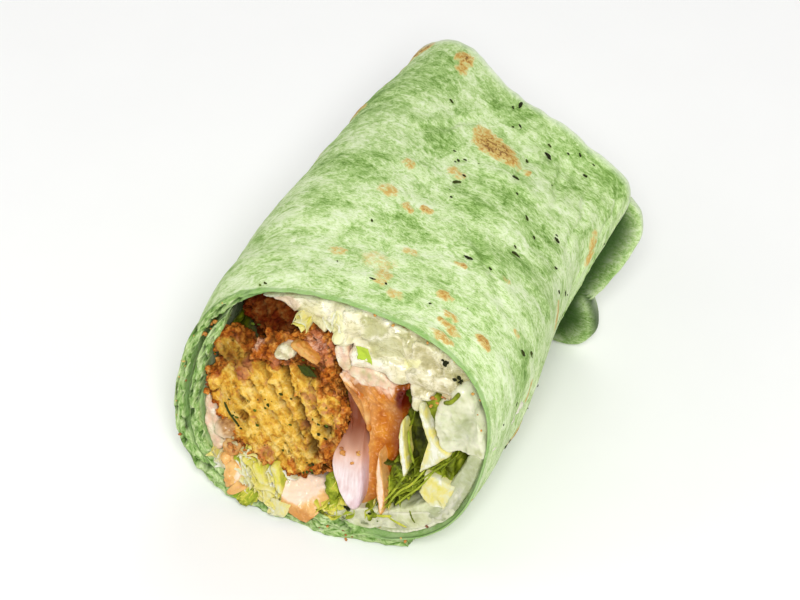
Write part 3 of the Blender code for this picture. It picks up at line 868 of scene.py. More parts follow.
def tomato_finish():
    """Wet tomato flesh: the marks skin, pale and sauce are shares of dark red skin and painted shade, pale
    core and pink sauce.
    """
    finish = Finish("tomato")
    place = finish.place()
    flesh = finish.noise(finish.place((1.2, 1, 0.7)), 3.2, 4, 0.55, 0.5)
    grain = finish.noise(place, 0.8, 4, 0.6)
    color = finish.ramp(
        flesh * 0.9 + grain * 0.45 - 0.17, (0.18, (0.22, 0.035, 0.002)), (0.38, (0.4, 0.1, 0.004)),
        (0.56, (0.54, 0.17, 0.007)), (0.8, (0.7, 0.31, 0.035)))
    # wet: lighter blotches on the flesh, painted highlights
    wet = (finish.noise(place, 1.3, 4, 0.7, 0.8) + 0.2 * (flesh - 0.5)).over(0.53, 0.66)
    color = finish.mix(wet * 0.55, color, (0.84, 0.46, 0.2))
    color = finish.mix(finish.mark("pale"), color, (0.8, 0.51, 0.19))
    color = finish.mix(finish.mark("skin"), color, (0.11, 0.008, 0.002))
    sauce = (finish.mark("sauce") + flesh - 0.5 + (grain - 0.5) * 0.5).over(0.3, 0.85)
    color = finish.mix(sauce * 0.8, color, (0.83, 0.66, 0.54))
    relief = finish.bump(flesh + 0.4 * grain, 0.2, 0.5)
    return finish.done(
        color, 0.16 + 0.18 * grain, relief, Coat_Weight=0.08, Coat_Roughness=0.08, Specular_IOR_Level=0.16,
        soft=(0.1, 0.8, (1.0, 0.35, 0.15)))


def onion_finish():
    """Onion: pale lilac flesh with fine lines along it, and painted shade, tan and then purple-brown, where
    its shade mark nears 1.
    """
    finish = Finish("onion")
    place = finish.place((1.5, 1, 0.15))
    lines = finish.noise(place, 0.9, 3, 0.5, 0.3)
    broad = finish.noise(finish.place(), 4.0, 3, 0.5)
    color = finish.ramp(lines * 0.6 + broad * 0.5, (0.38, (0.68, 0.51, 0.49)), (0.66, (0.84, 0.75, 0.74)))
    color = finish.mix(finish.mark("dusk").over(0.05, 0.6) * 0.9, color, (0.62, 0.33, 0.2))
    color = finish.mix(finish.mark("dusk").over(0.4, 0.92), color, (0.2, 0.05, 0.018))
    color = finish.mix(finish.mark("skin") * 0.5, color, (0.5, 0.22, 0.34))
    return finish.done(
        color, 0.24, finish.bump(lines, 0.12, 0.4), Coat_Weight=0.15, Coat_Roughness=0.1,
        Specular_IOR_Level=0.25, soft=(0.2, 0.8, (1.0, 0.7, 0.75)))


def cucumber_finish():
    """Cucumber: pale wet flesh, nearly clear in places, darker green where the mark skin is 1: skin, and
    painted shade in a crease.
    """
    finish = Finish("cucumber")
    fibres = finish.noise(finish.place((1, 0.5, 1)), 1.5, 5, 0.6, 0.5)
    broad = finish.noise(finish.place(), 5.0, 2, 0.5)
    color = finish.ramp(
        fibres * 0.7 + broad * 0.6 - 0.15, (0.25, (0.4, 0.42, 0.19)), (0.5, (0.56, 0.58, 0.34)),
        (0.75, (0.74, 0.75, 0.56)))
    color = finish.mix(finish.mark("skin"), color, (0.06, 0.11, 0.02))
    color = finish.mix(finish.mark("pale"), color, (0.72, 0.71, 0.53))
    relief = finish.bump(fibres, 0.3, 0.6)
    return finish.done(
        color, 0.18 + 0.15 * broad, relief, Coat_Weight=0.25, Coat_Roughness=0.08, Specular_IOR_Level=0.3,
        soft=(0.25, 1.2, (0.8, 1.0, 0.6)))


def crumb_finish():
    """Loose crumbs: the mark shade runs from dark crust at 0 through orange to golden at 1."""
    finish = Finish("crumb")
    grain = finish.noise(finish.place(), 0.7, 4, 0.6)
    color = finish.ramp(
        finish.mark("shade") + (grain - 0.5) * 0.5, (0.05, (0.07, 0.014, 0.002)),
        (0.35, (0.34, 0.1, 0.015)), (0.6, (0.58, 0.24, 0.035)), (0.9, (0.7, 0.46, 0.12)))
    return finish.done(color, 0.5, finish.bump(grain, 0.2, 0.8), Coat_Weight=0.15)


def herb_finish():
    """Chopped herbs and leaf tips: the mark shade runs from nearly black to bright green."""
    finish = Finish("herb")
    grain = finish.noise(finish.place(), 0.8, 3, 0.6)
    color = finish.ramp(
        finish.mark("shade") + (grain - 0.5) * 0.3, (0.05, (0.012, 0.014, 0.002)),
        (0.4, (0.055, 0.075, 0.006)), (0.7, (0.22, 0.36, 0.02)), (0.95, (0.42, 0.55, 0.05)))
    return finish.done(color, 0.6, finish.bump(grain, 0.15, 0.6), Specular_IOR_Level=0.12)


def chickpea_finish():
    """Cooked chickpea: tan, paler where the mark pale is 1, and dark where the mark skin is 1: painted shade
    under it.
    """
    finish = Finish("chickpea")
    grain = finish.noise(finish.place(), 1.4, 4, 0.6, 0.4)
    color = finish.ramp(
        grain, (0.3, (0.24, 0.11, 0.035)), (0.5, (0.44, 0.24, 0.09)), (0.7, (0.64, 0.44, 0.22)))
    color = finish.mix(finish.mark("pale"), color, (0.74, 0.6, 0.42))
    color = finish.mix(finish.mark("skin"), color, (0.045, 0.018, 0.006))
    return finish.done(color, 0.3, finish.bump(grain, 0.15, 0.6), Coat_Weight=0.2, Specular_IOR_Level=0.3)


# the tortilla

ROLL_RADIUS = 34
SHEET_COLUMNS = 600
FLAP_COLUMNS = 44
OUTER_ROWS = 104
INNER_ROWS = 34
TORN_FROM, TORN_TO = 138, 305
CREASES = (
    # start and end as (angle, along), width, depth
    ((22, 0.99), (352, 0.7), 2.2, 0.55),
    ((30, 0.99), (8, 0.66), 2.0, 0.45),
    ((38, 0.97), (28, 0.6), 2.6, 0.45),
    ((50, 0.93), (44, 0.66), 2.6, 0.4),
    ((62, 0.9), (66, 0.62), 3.2, 0.45),
    ((92, 0.86), (120, 0.62), 3.4, 0.35),
    ((75, 0.46), (40, 0.22), 3.2, 0.3),
    ((110, 0.4), (84, 0.1), 3.6, 0.3),
    ((20, 0.44), (346, 0.24), 3.0, 0.35),
    ((150, 0.74), (118, 0.5), 3.0, 0.3),
    ((200, 0.7), (176, 0.4), 3.0, 0.35),
    ((222, 0.92), (190, 0.78), 2.6, 0.4),
)
TOAST = (
    # toasted marks: angle, along, size mm, strength
    (81, 0.765, 5.4, 1), (88, 0.79, 3.4, 0.7), (73, 0.75, 3.6, 0.8), (150, 0.985, 3.4, 1),
    (121, 0.955, 2.6, 0.9), (119, 0.92, 1.8, 0.8), (155, 0.92, 1.8, 0.7), (153, 0.71, 2.2, 0.8),
    (110, 0.52, 1.8, 0.6), (89, 0.6, 2.6, 0.5), (110, 0.4, 2.6, 0.5), (98, 0.38, 1.8, 0.7),
    (91, 0.41, 1.6, 0.8), (153, 0.83, 1.6, 0.5), (96, 0.17, 4.6, 0.24), (90, 0.13, 2.4, 0.4),
    (86, 0.25, 2.2, 0.35), (114, 0.16, 2.2, 0.4), (81, 0.08, 2.2, 0.4), (90, 0.1, 1.6, 0.5),
    (65, 0.28, 1.3, 0.9), (64, 0.15, 1.8, 0.8), (58, 0.1, 1.6, 0.6), (59, 0.07, 1.4, 0.7),
    (56, 0.02, 2.2, 0.6), (54, 0.06, 1.7, 0.6), (43, 0.1, 1.8, 0.8), (14, 0.52, 2.6, 0.7),
    (18, 0.78, 2.8, 0.6), (47, 0.33, 1.3, 0.4), (62, 0.75, 1, 0.7), (34, 0.22, 1.5, 0.4),
    (172, 0.3, 4.4, 0.9), (190, 0.72, 5.2, 0.9), (216, 0.45, 4, 0.9), (238, 0.2, 3.6, 0.8),
    (160, 0.55, 3, 0.6), (345, 0.34, 3.2, 0.8), (330, 0.72, 3.8, 0.8), (300, 0.5, 4, 0.8),
    (205, 0.9, 2.8, 0.8), (8, 0.28, 1.8, 0.7),
)
GREENS = (
    # darker patches of the sheet, some of them painted shadow that the other half of the wrap cast: angle,
    # along, size mm
    (149, 0.66, 12), (107, 0.67, 9), (132, 0.85, 12), (75, 0.52, 9), (64, 0.6, 10), (51, 0.85, 8),
    (131, 0.32, 8), (84, 0.93, 8), (44, 0.58, 8), (38, 0.96, 9), (132, 0.45, 10), (62, 0.38, 9),
    (144, 0.74, 11), (43, 0.42, 8), (93, 0.32, 8), (190, 0.5, 12), (225, 0.8, 11), (210, 0.25, 10),
    (250, 0.6, 12), (335, 0.5, 11), (345, 0.8, 9), (176, 0.86, 9), (20, 0.2, 7), (290, 0.3, 10),
)
FLECKS = (
    # the larger herb flecks: angle, along, length mm
    (58, 0.86, 1.9), (86, 0.56, 2), (65, 0.7, 1.9), (41, 0.9, 1.2), (83, 0.97, 1.9), (77, 0.9, 1.1),
    (113, 0.81, 1.6), (153, 0.8, 1.8), (136, 0.73, 1.1), (141, 0.67, 1.2), (144, 0.83, 1.3),
    (134, 0.52, 1.5), (125, 0.51, 1.3), (122, 0.44, 1.2), (89, 0.66, 0.9), (151, 0.38, 1.3),
    (135, 0.33, 1.2), (109, 0.34, 1.4), (134, 0.25, 1.6), (88, 0.37, 1), (61, 0.55, 0.9), (52, 0.59, 1.2),
    (36, 0.62, 1.5), (64, 0.32, 1.8), (49, 0.44, 1.6), (121, 0.12, 1.7), (93, 0.1, 1.4), (53, 0.28, 1.2),
    (17, 0.58, 1.1), (42, 0.14, 1.2), (27, 0.21, 1.7), (23, 0.25, 1.5),
)
SMALL_FLECKS = 120
SHEET_CRUMBS = 60
# where the lip of each fold starts, how far it spreads round the end and how high it is
FOLD_LIPS = ((352, 80, 1.9), (300, 60, 1.5), (226, 75, 1.8), (150, 70, 1.6), (70, 80, 1.7))


def unrolled(turn, along, depth):
    """Where a point of the sheet lies when the sheet is rolled out flat, in millimetres."""
    return stacked(np.radians(turn) * ROLL_RADIUS, along * ROLL_LENGTH, depth).astype(float)


def outer_turn(angle):
    """The turn of the spiral at which the sheet's outer layer passes an angle."""
    return angle if angle >= SPIRAL_LIFT else angle + 360


def from_line(flat, start, end):
    """Distance of rolled-out points from a line between two (turn, along) ends."""
    first = unrolled(outer_turn(start[0]), start[1], 0)[:2]
    last = unrolled(outer_turn(end[0]), end[1], 0)[:2]
    ahead = last - first
    share = np.clip(((flat[..., :2] - first) @ ahead) / (ahead @ ahead), 0, 1)
    return np.linalg.norm(flat[..., :2] - first - share[..., None] * ahead, axis=-1), share


def spotted(flat, spots, core):
    """Soft marks on the rolled-out sheet, each as strong as its strength within a share core of its size."""
    flat = flat + 0.9 * stacked(waves(flat, 1.7, 8), waves(flat, 1.7, 9), 0)
    total = np.zeros(flat.shape[:-1])
    for angle, along, size, strength in spots:
        middle = unrolled(outer_turn(angle), along, 0)
        away = np.hypot((flat[..., 0] - middle[0]) * 0.62, flat[..., 1] - middle[1])
        total = np.maximum(total, strength * (1 - ease(away, core * size, size)))
    return total


def toasting(flat):
    """How toasted the sheet is, 1 at the middle of each toasted mark."""
    return spotted(flat, TOAST, 0.4)


def sheet_relief(flat):
    """How far the sheet's puffs, wrinkles and creases stand above it."""
    slanted = flat @ np.array(((0.4, 0.3, 0), (-0.25, 1.0, 0), (0, 0, 0)))
    height = 0.55 * waves(slanted, 14, 3) + 0.26 * waves(slanted, 5.2, 4) + 0.11 * waves(slanted, 2.1, 5)
    bent = flat + 1.6 * stacked(waves(flat, 8, 6), waves(flat, 8, 7), 0)
    for start, end, width, depth in CREASES:
        away, share = from_line(bent, start, end)
        middle = np.sin(np.pi * np.clip(share, 0.02, 0.98)) ** 0.7
        ridge = 0.7 * (1 - ease(away, width * 0.6, width * 2))
        valley = 1.5 * (1 - ease(away, 0, width * 0.7))
        height += depth * middle * (ridge - valley)
    return height + 0.35 * toasting(flat)


def tortilla_roll(finish):
    """The rolled sheet, from its inner end to the free edge that lies on the table."""
    rolled = np.linspace(SPIRAL_START, SPIRAL_END, SHEET_COLUMNS)
    laid = np.linspace(0, 1, FLAP_COLUMNS + 1)[1:]
    turn = np.concatenate([rolled, np.full(FLAP_COLUMNS, SPIRAL_END)])[:, None]
    flap = np.concatenate([np.zeros(SHEET_COLUMNS), laid])[:, None]
    front = np.linspace(0, 1, OUTER_ROWS) ** 1.25
    back = np.linspace(1, 0, INNER_ROWS)
    far_lip = np.array([0.06, 0.22, 0.5, 0.78, 0.94])
    cut_lip = np.array([0.97, 0.88, 0.76, 0.64, 0.52, 0.4, 0.28, 0.16, 0.07, 0.02])
    along = np.concatenate([front, np.ones(len(far_lip)), back, np.zeros(len(cut_lip))])[None, :]
    through = np.concatenate([np.zeros(len(front)), far_lip, np.ones(len(back)), cut_lip])[None, :]
    flat = unrolled(turn, along, through * SHEET)
    lift = roll(SPIRAL_END, along)
    edge = FLAP_FRONT + (FLAP_BACK - FLAP_FRONT) * along + FAR_SHIFT * ease(along)
    flat[..., 0] += flap * (edge - lift[..., 0])

    ends = ease(np.arange(len(turn)), 0, 12) * ease(np.arange(len(turn))[::-1], 0, 9)
    ends = np.sqrt(np.clip(ends, 0.004, 1))[:, None]
    angle = turn % 360
    torn = ease(angle, TORN_FROM - 12, TORN_FROM + 12) * (1 - ease(angle, TORN_TO - 10, TORN_TO + 10))
    near_cut = 1 - ease(along, 0, 0.035)
    far_edge = ease(along, 0.985, 1)
    hidden = 1 - ease(turn, SPIRAL_LIFT - 20, SPIRAL_LIFT + 30)
    relief = sheet_relief(flat) * (1 - 0.75 * hidden) * (1 - 0.5 * near_cut)
    fluff = near_cut * torn * 0.3 * rough(flat, 1.6, 21)
    thickness = SHEET * 0.96 * ends * (1 - 0.72 * near_cut * (1 - torn)) * (1 - 0.45 * ease(along, 0.95, 1))
    belly = SIDE_BELLY * bump(turn, 360 + SIDE_BELLY_ANGLE, SIDE_BELLY_SPREAD) * ease(along, 0.0, 0.12)
    top = sheet_depth(turn) + SHEET * 0.02 - belly
    depth = top + through * thickness - relief * (1 - through) * ends + fluff * through
    points = roll(turn, along, depth)
    waviness = (0.9 * waves(flat, 7, 9) + 0.7) * flap * (1 + 2 * near_cut)
    points[..., 0] += flap * (edge - lift[..., 0])
    points[..., 1] += flap * FLAP_CUT * (1 - along)
    lying = through * SHEET * ends + np.clip(waviness, 0, 3) * 0.5
    points[..., 2] = np.where(flap > 0, lying, points[..., 2])
    rounding = np.sqrt(np.clip(1 - (2 * through - 1) ** 2, 0, 1))
    cut = (along == 0) & (through > 0)
    on_cut = np.where(cut, rounding, 0)
    ragged = (0.25 + 0.2 * torn) * waves(flat, 3.4, 31)
    tufts = (0.1 + 0.85 * torn) * rough(flat * (0.32, 1, 1.5), 1.3, 33)
    tufts = tufts + 0.22 * torn * waves(flat * (0.5, 1, 1), 0.7, 35)
    gaps = torn * ease(rough(unrolled(turn, 0, through * SHEET) * (0.3, 1, 1.3), 1.2, 41), 0.16, 0.55)
    points[..., 1] += near_cut * ragged + on_cut * (-0.75 + tufts + 2.2 * gaps)
    points[..., 1] += far_edge * (0.3 * rounding + 0.35 * waves(flat, 4, 51))
    points[..., 2] = np.maximum(points[..., 2], 0)
    toast = toasting(flat) * (1 - through)
    cut_share = np.where(cut, 1.0, (1 - ease(along, 0, 0.006)) * 0.8) * (0.25 + 0.75 * torn)
    # line, and the torn gaps with it, go into the mark crease: painted shade
    line = (1 - torn) * np.exp(-((through - 0.86) / 0.12) ** 2) * 0.8 * cut
    # deep: darker at the listed patches, partly painted shadow, and darker towards the far end
    deep = spotted(flat, [(*green, 1.0) for green in GREENS], 0.2) + 0.35 * ease(along, 0.5, 1)
    # pale: painted highlight along the far lip
    pale = ease(along, 0.984, 0.994) * (1 - 0.7 * through) * np.ones_like(turn)
    solid = loft(points, unrolled=flat, toast=toast, cut=cut_share,
                 crease=np.maximum(line, 0.9 * gaps * cut), deep=deep, pale=pale)
    solid.make("tortilla_roll", finish, "tortilla", "tortilla")


def end_folds(finish):
    """The far end of the sheet, folded in: its folds lie over each other like petals."""
    columns = 360
    angle = np.linspace(0, 360, columns, endpoint=False)[None, :]
    profile = curve(TUCK_PROFILE, 88)
    share = np.interp(angle, *np.transpose(FOLDS), period=360)
    share = np.mean([np.roll(share, step, 1) for step in range(-3, 4)], axis=0)
    share = share + 0.05 * waves(stacked(angle, 0, 0), 7, 63)
    reach = profile[:, 0:1] + (profile[:, 1:2] - profile[:, 0:1]) * share
    rise = profile[:, 2:3] + (profile[:, 3:4] - profile[:, 2:3]) * share
    row = np.linspace(0, 1, len(profile))[:, None]
    inside = ease(row, 0.04, 0.3) * (1 - ease(row, 0.72, 0.9))
    lips = np.zeros((len(profile), columns))
    shadow = np.zeros_like(lips)
    for start, spread, height in FOLD_LIPS:
        swirled = (angle - start - 45 * (1 - reach)) % 360
        lips += height * np.where(swirled < spread, 1 - swirled / spread, 0) * ease(swirled, 0, 2.4)
        shadow = np.maximum(shadow, ease(swirled, 352.5, 360))
    flat = stacked(np.radians(angle) * 15, reach * 30, rise)
    wrinkles = 1.0 * waves(flat * (0.9, 0.22, 0), 3.4, 61) + 0.35 * rough(flat * (0.6, 0.5, 0), 2.2, 62)
    rise = rise + inside * (lips - 0.9 + wrinkles)
    outer = roll(angle, 1.0, SHEET * 0.55, reach, rise)
    wall = [roll(angle, along, SHEET * 0.55) for along in (0.93, 0.87, 0.8)]
    core = [roll(angle, 0.78, SHEET * 1.5, size) for size in (1, 0.5, 0)]
    points = np.concatenate([outer] + [np.broadcast_to(ring, outer[:1].shape) for ring in wall + core])
    points[..., 2] = np.maximum(points[..., 2], 0.05)
    extra = len(points) - len(profile)

    def padded(values):
        return np.pad(values * np.ones_like(lips), ((0, extra), (0, 0)))

    # Painted shade: crease darkens the sheet behind the lobes, where a lobe's shadow falls and between the
    # lobes, and deep darkens each lobe's side that faces the collar. pale is a painted highlight along the
    # lobes' rims.
    behind_lobes = ease(row, 0.58, 0.73) * ease(share, 0.2, 0.6)
    between = 0.55 * (1 - ease(share, 0, 0.4)) * ease(row, 0.3, 0.6)
    deep = padded(np.maximum(behind_lobes, inside * np.maximum(shadow, between)))
    lobe = ease(share, 0.3, 0.8)
    green = padded(0.25 * lobe + 0.9 * ease(row, 0.66, 0.82) * lobe)
    pale = padded(0.7 * ease(row, 0.46, 0.52) * (1 - ease(row, 0.55, 0.62)) * lobe)
    solid = loft(points, unrolled=points.copy(), crease=deep, deep=green, pale=pale)
    solid.make("tortilla_end_folds", finish, "tortilla", "tortilla")


def sheet_specks(finish, crumb):
    """Dark herb flecks baked into the sheet, and crumbs on its torn rim."""
    random = np.random.default_rng(4)
    places = [(angle, along, 1.15 * size, 0.5) for angle, along, size in FLECKS]
    for _ in range(SMALL_FLECKS):
        angle, along = random.uniform(-60, 230), random.uniform(0.03, 0.985)
        places.append((angle, along, random.uniform(0.35, 1.1), 0.7))
    flecks = []
    for number, (angle, along, size, narrow) in enumerate(places):
        middle = roll(angle, along, 0.06)
        around = roll(angle + 2, along, 0.06) - middle
        lengthwise = roll(angle, along + 0.02, 0.06) - middle
        around /= np.linalg.norm(around)
        lengthwise /= np.linalg.norm(lengthwise)
        outward = np.cross(around, lengthwise)
        swing = random.normal(0.25, 0.5)
        ahead = around * math.cos(swing) + lengthwise * math.sin(swing)
        side = lengthwise * math.cos(swing) - around * math.sin(swing)
        fleck = lump((0, 0, 0), (size, size * narrow * random.uniform(0.7, 1), 0.24), number, 0.6, 13, 8,
                     shade=random.uniform(0.0, 0.3))
        flat = unrolled(outer_turn(angle % 360), along, 0)
        belly = SIDE_BELLY * bump(angle, SIDE_BELLY_ANGLE, SIDE_BELLY_SPREAD) * ease(along, 0.0, 0.12)
        height = sheet_relief(flat[None])[0] + belly - 0.08
        fleck.points = middle + outward * height + (
            fleck.points[:, :1] * ahead + fleck.points[:, 1:2] * side + fleck.points[:, 2:] * outward)
        flecks.append(fleck.laid_on(0))
    joined(flecks).make("tortilla_herb_flecks", finish, "tortilla")
    crumbs = []
    for number in range(SHEET_CRUMBS):
        angle = random.choice((random.uniform(145, 300), random.uniform(300, 500)), p=(0.7, 0.3))
        spot = roll(angle, 0.0, random.uniform(0.0, 2.6)) + (0, random.normal(0.1, 0.4), 0)
        size = random.uniform(0.35, 0.9)
        bit = lump(spot, (size, size, size * 0.8), number, 0.5, 8, 6, shade=random.uniform(0.2, 1.0))
        crumbs.append(bit.laid_on(0))
    joined(crumbs).make("rim_crumbs", crumb, "falafel_crust")


# the falafel

FALAFEL_OUTLINE = (
    (-29.3, 29), (-27.8, 22.5), (-23.8, 17), (-17, 13.2), (-9.5, 12.4), (-3, 13.6), (0.8, 17.5), (2.6, 24),
    (3.2, 30.5), (1.4, 36), (-2.4, 39.6), (-9, 41), (-15, 40), (-21, 38), (-26.5, 34.5),
)
FRONT_VOXEL = 0.33
BALL_VOXEL = 0.38
BALL_MIDDLE = (-16.3, 45.2, 11.0)
BALL_SIZE = (21, 15, 17.5)
RIM_CRUMBS = 170
BALL_CRUMBS = 210
GROOVES = (
    # path, width, depth
    (((-11.8, 37.5), (-9.6, 33.5), (-7.4, 30), (-6.1, 26.5), (-3.8, 22), (-3, 18.5)), 1, 2.2),
    (((-16.5, 35.5), (-14.3, 31.5), (-11, 28), (-5.8, 22)), 0.7, 1.2),
    (((-19.5, 31), (-16, 27), (-11.5, 23)), 0.5, 0.8),
    (((-7.5, 38), (-4.5, 34), (-2.6, 28)), 0.7, 1.2),
)
LUMPS = (
    # across, up, inward, size: knobs of crust on the front falafel
    (-21.4, 33.2, 0, 5.6), (-13.6, 38.2, 0.4, 5), (-18, 39.5, 1.6, 4.6), (-6, 40, 0.8, 5),
    (-1.6, 37.4, 0.6, 5), (-8.6, 33.5, -0.2, 4), (-2.6, 31, 0.1, 4.2), (-3.5, 24, 0.2, 4),
    (-14.8, 33.6, -0.1, 3.6), (-26, 33.5, 0.6, 4.6), (-16.5, 13.8, 0.4, 4), (-22.4, 16.4, 0.4, 4.4),
    (0.2, 19.4, 0.4, 3.6), (-10.6, 44.2, 3, 4), (-8.4, 44.4, 2.2, 3.6), (-5.8, 43.6, 1.6, 3.8),
    (-3.2, 42.8, 1.2, 3.6), (-1, 41.4, 0.8, 3.2), (-13, 42.4, 2.6, 4.2), (-16.6, 42, 3.4, 4.6),
    (-6.6, 47.4, 2.8, 4.2), (-3.6, 46.4, 2.2, 4.2), (-0.8, 44.8, 1.4, 3.6), (-9.8, 47.6, 3.6, 3.8),
)
CRUSTY = (
    # spot and radius of the crust that lies over the broken face
    ((-21.4, 33.2), 4.6), ((-13.6, 38.6), 4.6), ((-6, 40), 4.4), ((-1.6, 37.8), 5), ((2.6, 27), 3),
    ((-17.5, 38.5), 4), ((-15.7, 13.5), 3), ((-22.5, 16.5), 3), ((-27.5, 34), 3), ((-8, 33), 2.2),
    ((-1, 19), 4), ((0.6, 31.4), 3.6), ((-2.4, 34.6), 2.6), ((-0.2, 22.6), 2.6), ((-8.6, 15), 2.4),
)
DENTS = (
    # spot, size, depth
    ((-0.4, 25.6), 1.6, 2.2), ((-20.8, 22.2), 1.5, 1.6), ((-6.4, 39.2), 2.6, 2.8), ((-21.8, 26), 1.2, 1),
    ((-17.6, 36.4), 1.2, 1.2), ((-23.4, 32), 1, 1),
)
ROSY = (
    # strength, spot, radius of the redder places
    (0.55, (-4.6, 32.6), 4.2), (0.45, (-5.6, 26), 4), (0.6, (-21.5, 34.5), 4), (0.5, (-12.5, 39.5), 4),
    (0.8, (-4, 45), 6), (0.4, (-14.5, 15), 4), (0.5, (0.4, 29), 4.5),
)
SAUCED = (
    # strength, spot, radius of the sauce on the falafel
    (0.8, (-5.4, 45.2), 6), (0.8, (-19, 41), 2.6), (0.7, (-23, 15.4), 2.6), (1, (-11.6, 41.6), 3.4),
)


def falafel_front(finish):
    """The front falafel: a broken golden face with flaky layers and grooves, in a crust of crumbs."""
    random = np.random.default_rng(11)
    parts = [plug(FALAFEL_OUTLINE, 17, 0.3, CUT_BALL_PROFILE, 90, 50)]
    parts.append(lump(at(-24.6, 37.2, 2.6), (11.5, 8, 9.0), 3, 0.3, 20, 14))
    parts.append(lump(at(-28.3, 29.5, 1.0), (5.0, 5, 6.5), 5, 0.3, 16, 12))
    for across, up, inward, size in LUMPS:
        parts.append(lump(at(across, up, inward + 0.6), (size, size * 0.8, size), len(parts), 0.4, 14, 10))
    rim = curve(FALAFEL_OUTLINE, 64, closed=True)
    for number, (across, up) in enumerate(rim):
        size = random.uniform(1.2, 3.8)
        inward = random.uniform(0.6, 3.4)
        parts.append(lump(at(across, up, inward), (size, size, size), number, 0.5, 10, 8))
    for number in range(RIM_CRUMBS):
        across, up = rim[random.integers(len(rim))] + random.normal(0, 1.2, 2)
        size = random.uniform(0.6, 1.9)
        parts.append(lump(at(across, up, random.uniform(0.0, 5)), (size, size, size), number, 0.5, 8, 6))
    solid = joined(parts).melted(FRONT_VOXEL, 1)
    points = solid.points
    behind = behind_face(points)
    within = inside_outline(points, FALAFEL_OUTLINE)
    chunk = nearness(points, (-24.6, 37.2), 7.0)
    patchy = 1.6 * waves(points, 5.0, 70) + 1.3 * waves(points, 2.0, 69)
    golden = np.maximum(ease(within + patchy, -0.4, 2.6), 0.75 * ease(chunk, 0.1, 0.6))
    golden = golden * (1 - ease(behind, 1.8, 5.0))
    blobs = sum(nearness(points, spot, size) for spot, size in CRUSTY)
    crust = np.clip(1 - golden + 0.8 * blobs, 0, 1)
    grooves = np.zeros(len(points))
    for path, width, depth in GROOVES:
        away = from_path(points, path) + 0.7 * rough(points, 1.5, 68)
        grooves = np.maximum(grooves, depth * (1 - ease(away, 0, width * 1.7)))
    grooves *= 1 - ease(behind, 2, 4)
    for spot, size, depth in DENTS:
        grooves = np.maximum(grooves, depth * nearness(points, spot, size * 1.6))
    bits, owner = crumbled(points + 0.5 * rough(points, 2.0, 71)[:, None], 2.1, 72)
    fine, shade = crumbled(points, 0.95, 73)
    flakes = rough(points @ np.array(((1.1, 0, 0.55), (0, 1, 0), (-0.35, 0, 0.8))), 3.4, 74)
    over_streaks = points @ np.array((0.78, 0.0, 0.62)) + 2.2 * waves(points, 6, 75)
    over_streaks = over_streaks + 0.7 * rough(points, 1.8, 77)
    layer = (over_streaks / 3.1) % 1
    flaky = (1 - crust) * ease(waves(points, 6, 78), -0.5, 0.3)
    broken = (over_streaks / 1.3 + 0.4 * waves(points, 3, 79)) % 1
    relief = (0.14 + 0.86 * crust) * (0.95 * bits - 0.55) + (0.3 + 0.22 * crust) * (fine - 0.4)
    relief = relief + 0.45 * flakes
    relief = relief + flaky * (0.85 * (layer - 0.5) + 0.22 * (broken - 0.5))
    solid.push(relief - grooves)
    light = nearness(points, (-13.5, 22.0), 9) * 0.6 + nearness(points, (-19, 29.5), 6) * 0.4
    solid.mark("tint", 0.3 * owner + 0.34 * shade + 0.26 * layer + 0.22 * light)
    solid.share("crust", crust - 0.25 * shade * (1 - crust) + 0.25 * chunk)
    # The mark hollow is painted shade: in the grooves and dents, in low places, at the drop of each flaky
    # layer and over the shaded top left with its chunk.
    low = ease(-relief, 0.15, 0.75) * (0.3 + 0.55 * crust)
    drop = flaky * (1 - ease(layer, 0.0, 0.14)) * 0.5
    top_left = 0.45 * nearness(points, (-22, 43.0), 5) + 0.72 * chunk
    solid.share("hollow", 0.5 * grooves + low + top_left + drop)
    solid.share("rosy", sum(strength * nearness(points, spot, radius) for strength, spot, radius in ROSY))
    sauced = sum(strength * nearness(points, spot, radius) for strength, spot, radius in SAUCED)
    solid.share("sauce", 0.8 * sauced)
    solid.make("falafel_front_half", finish, "falafel", "falafel_front")


def falafel_rear(finish):
    """The rear falafel, whole and dark, standing back from the cut in its hollow: its crust is darkened with
    painted shade.
    """
    random = np.random.default_rng(12)
    middle = at(*BALL_MIDDLE)
    parts = [lump(middle, BALL_SIZE, 7, 0.12, 36, 24)]
    for number in range(BALL_CRUMBS):
        facing = random.normal(0, 1, 3)
        facing /= np.linalg.norm(facing)
        size = random.uniform(1.2, 3.6)
        spot = middle + facing * (10.2, 7.2, 8.4)
        if facing[1] < 0.6:
            parts.append(lump(spot, (size, size, size), number, 0.5, 9, 7))
    solid = joined(parts).melted(BALL_VOXEL, 2)
    bits, owner = crumbled(solid.points, 1.9, 82)
    fine, shade = crumbled(solid.points, 0.9, 83)
    relief = 0.9 * (bits - 0.5) + 0.4 * (fine - 0.4) + 0.5 * rough(solid.points, 3.0, 84)
    solid.push(relief)
    solid.mark("tint", 0.5 * owner + 0.5 * shade)
    solid.mark("crust", 1.0)
    # hollow: painted shade in its low places
    solid.mark("hollow", ease(-relief, 0.0, 0.6) * 0.8).mark("sauce", 0.0)
    solid.make("falafel_rear_ball", finish, "falafel_crust", "falafel_rear")


# the vegetables

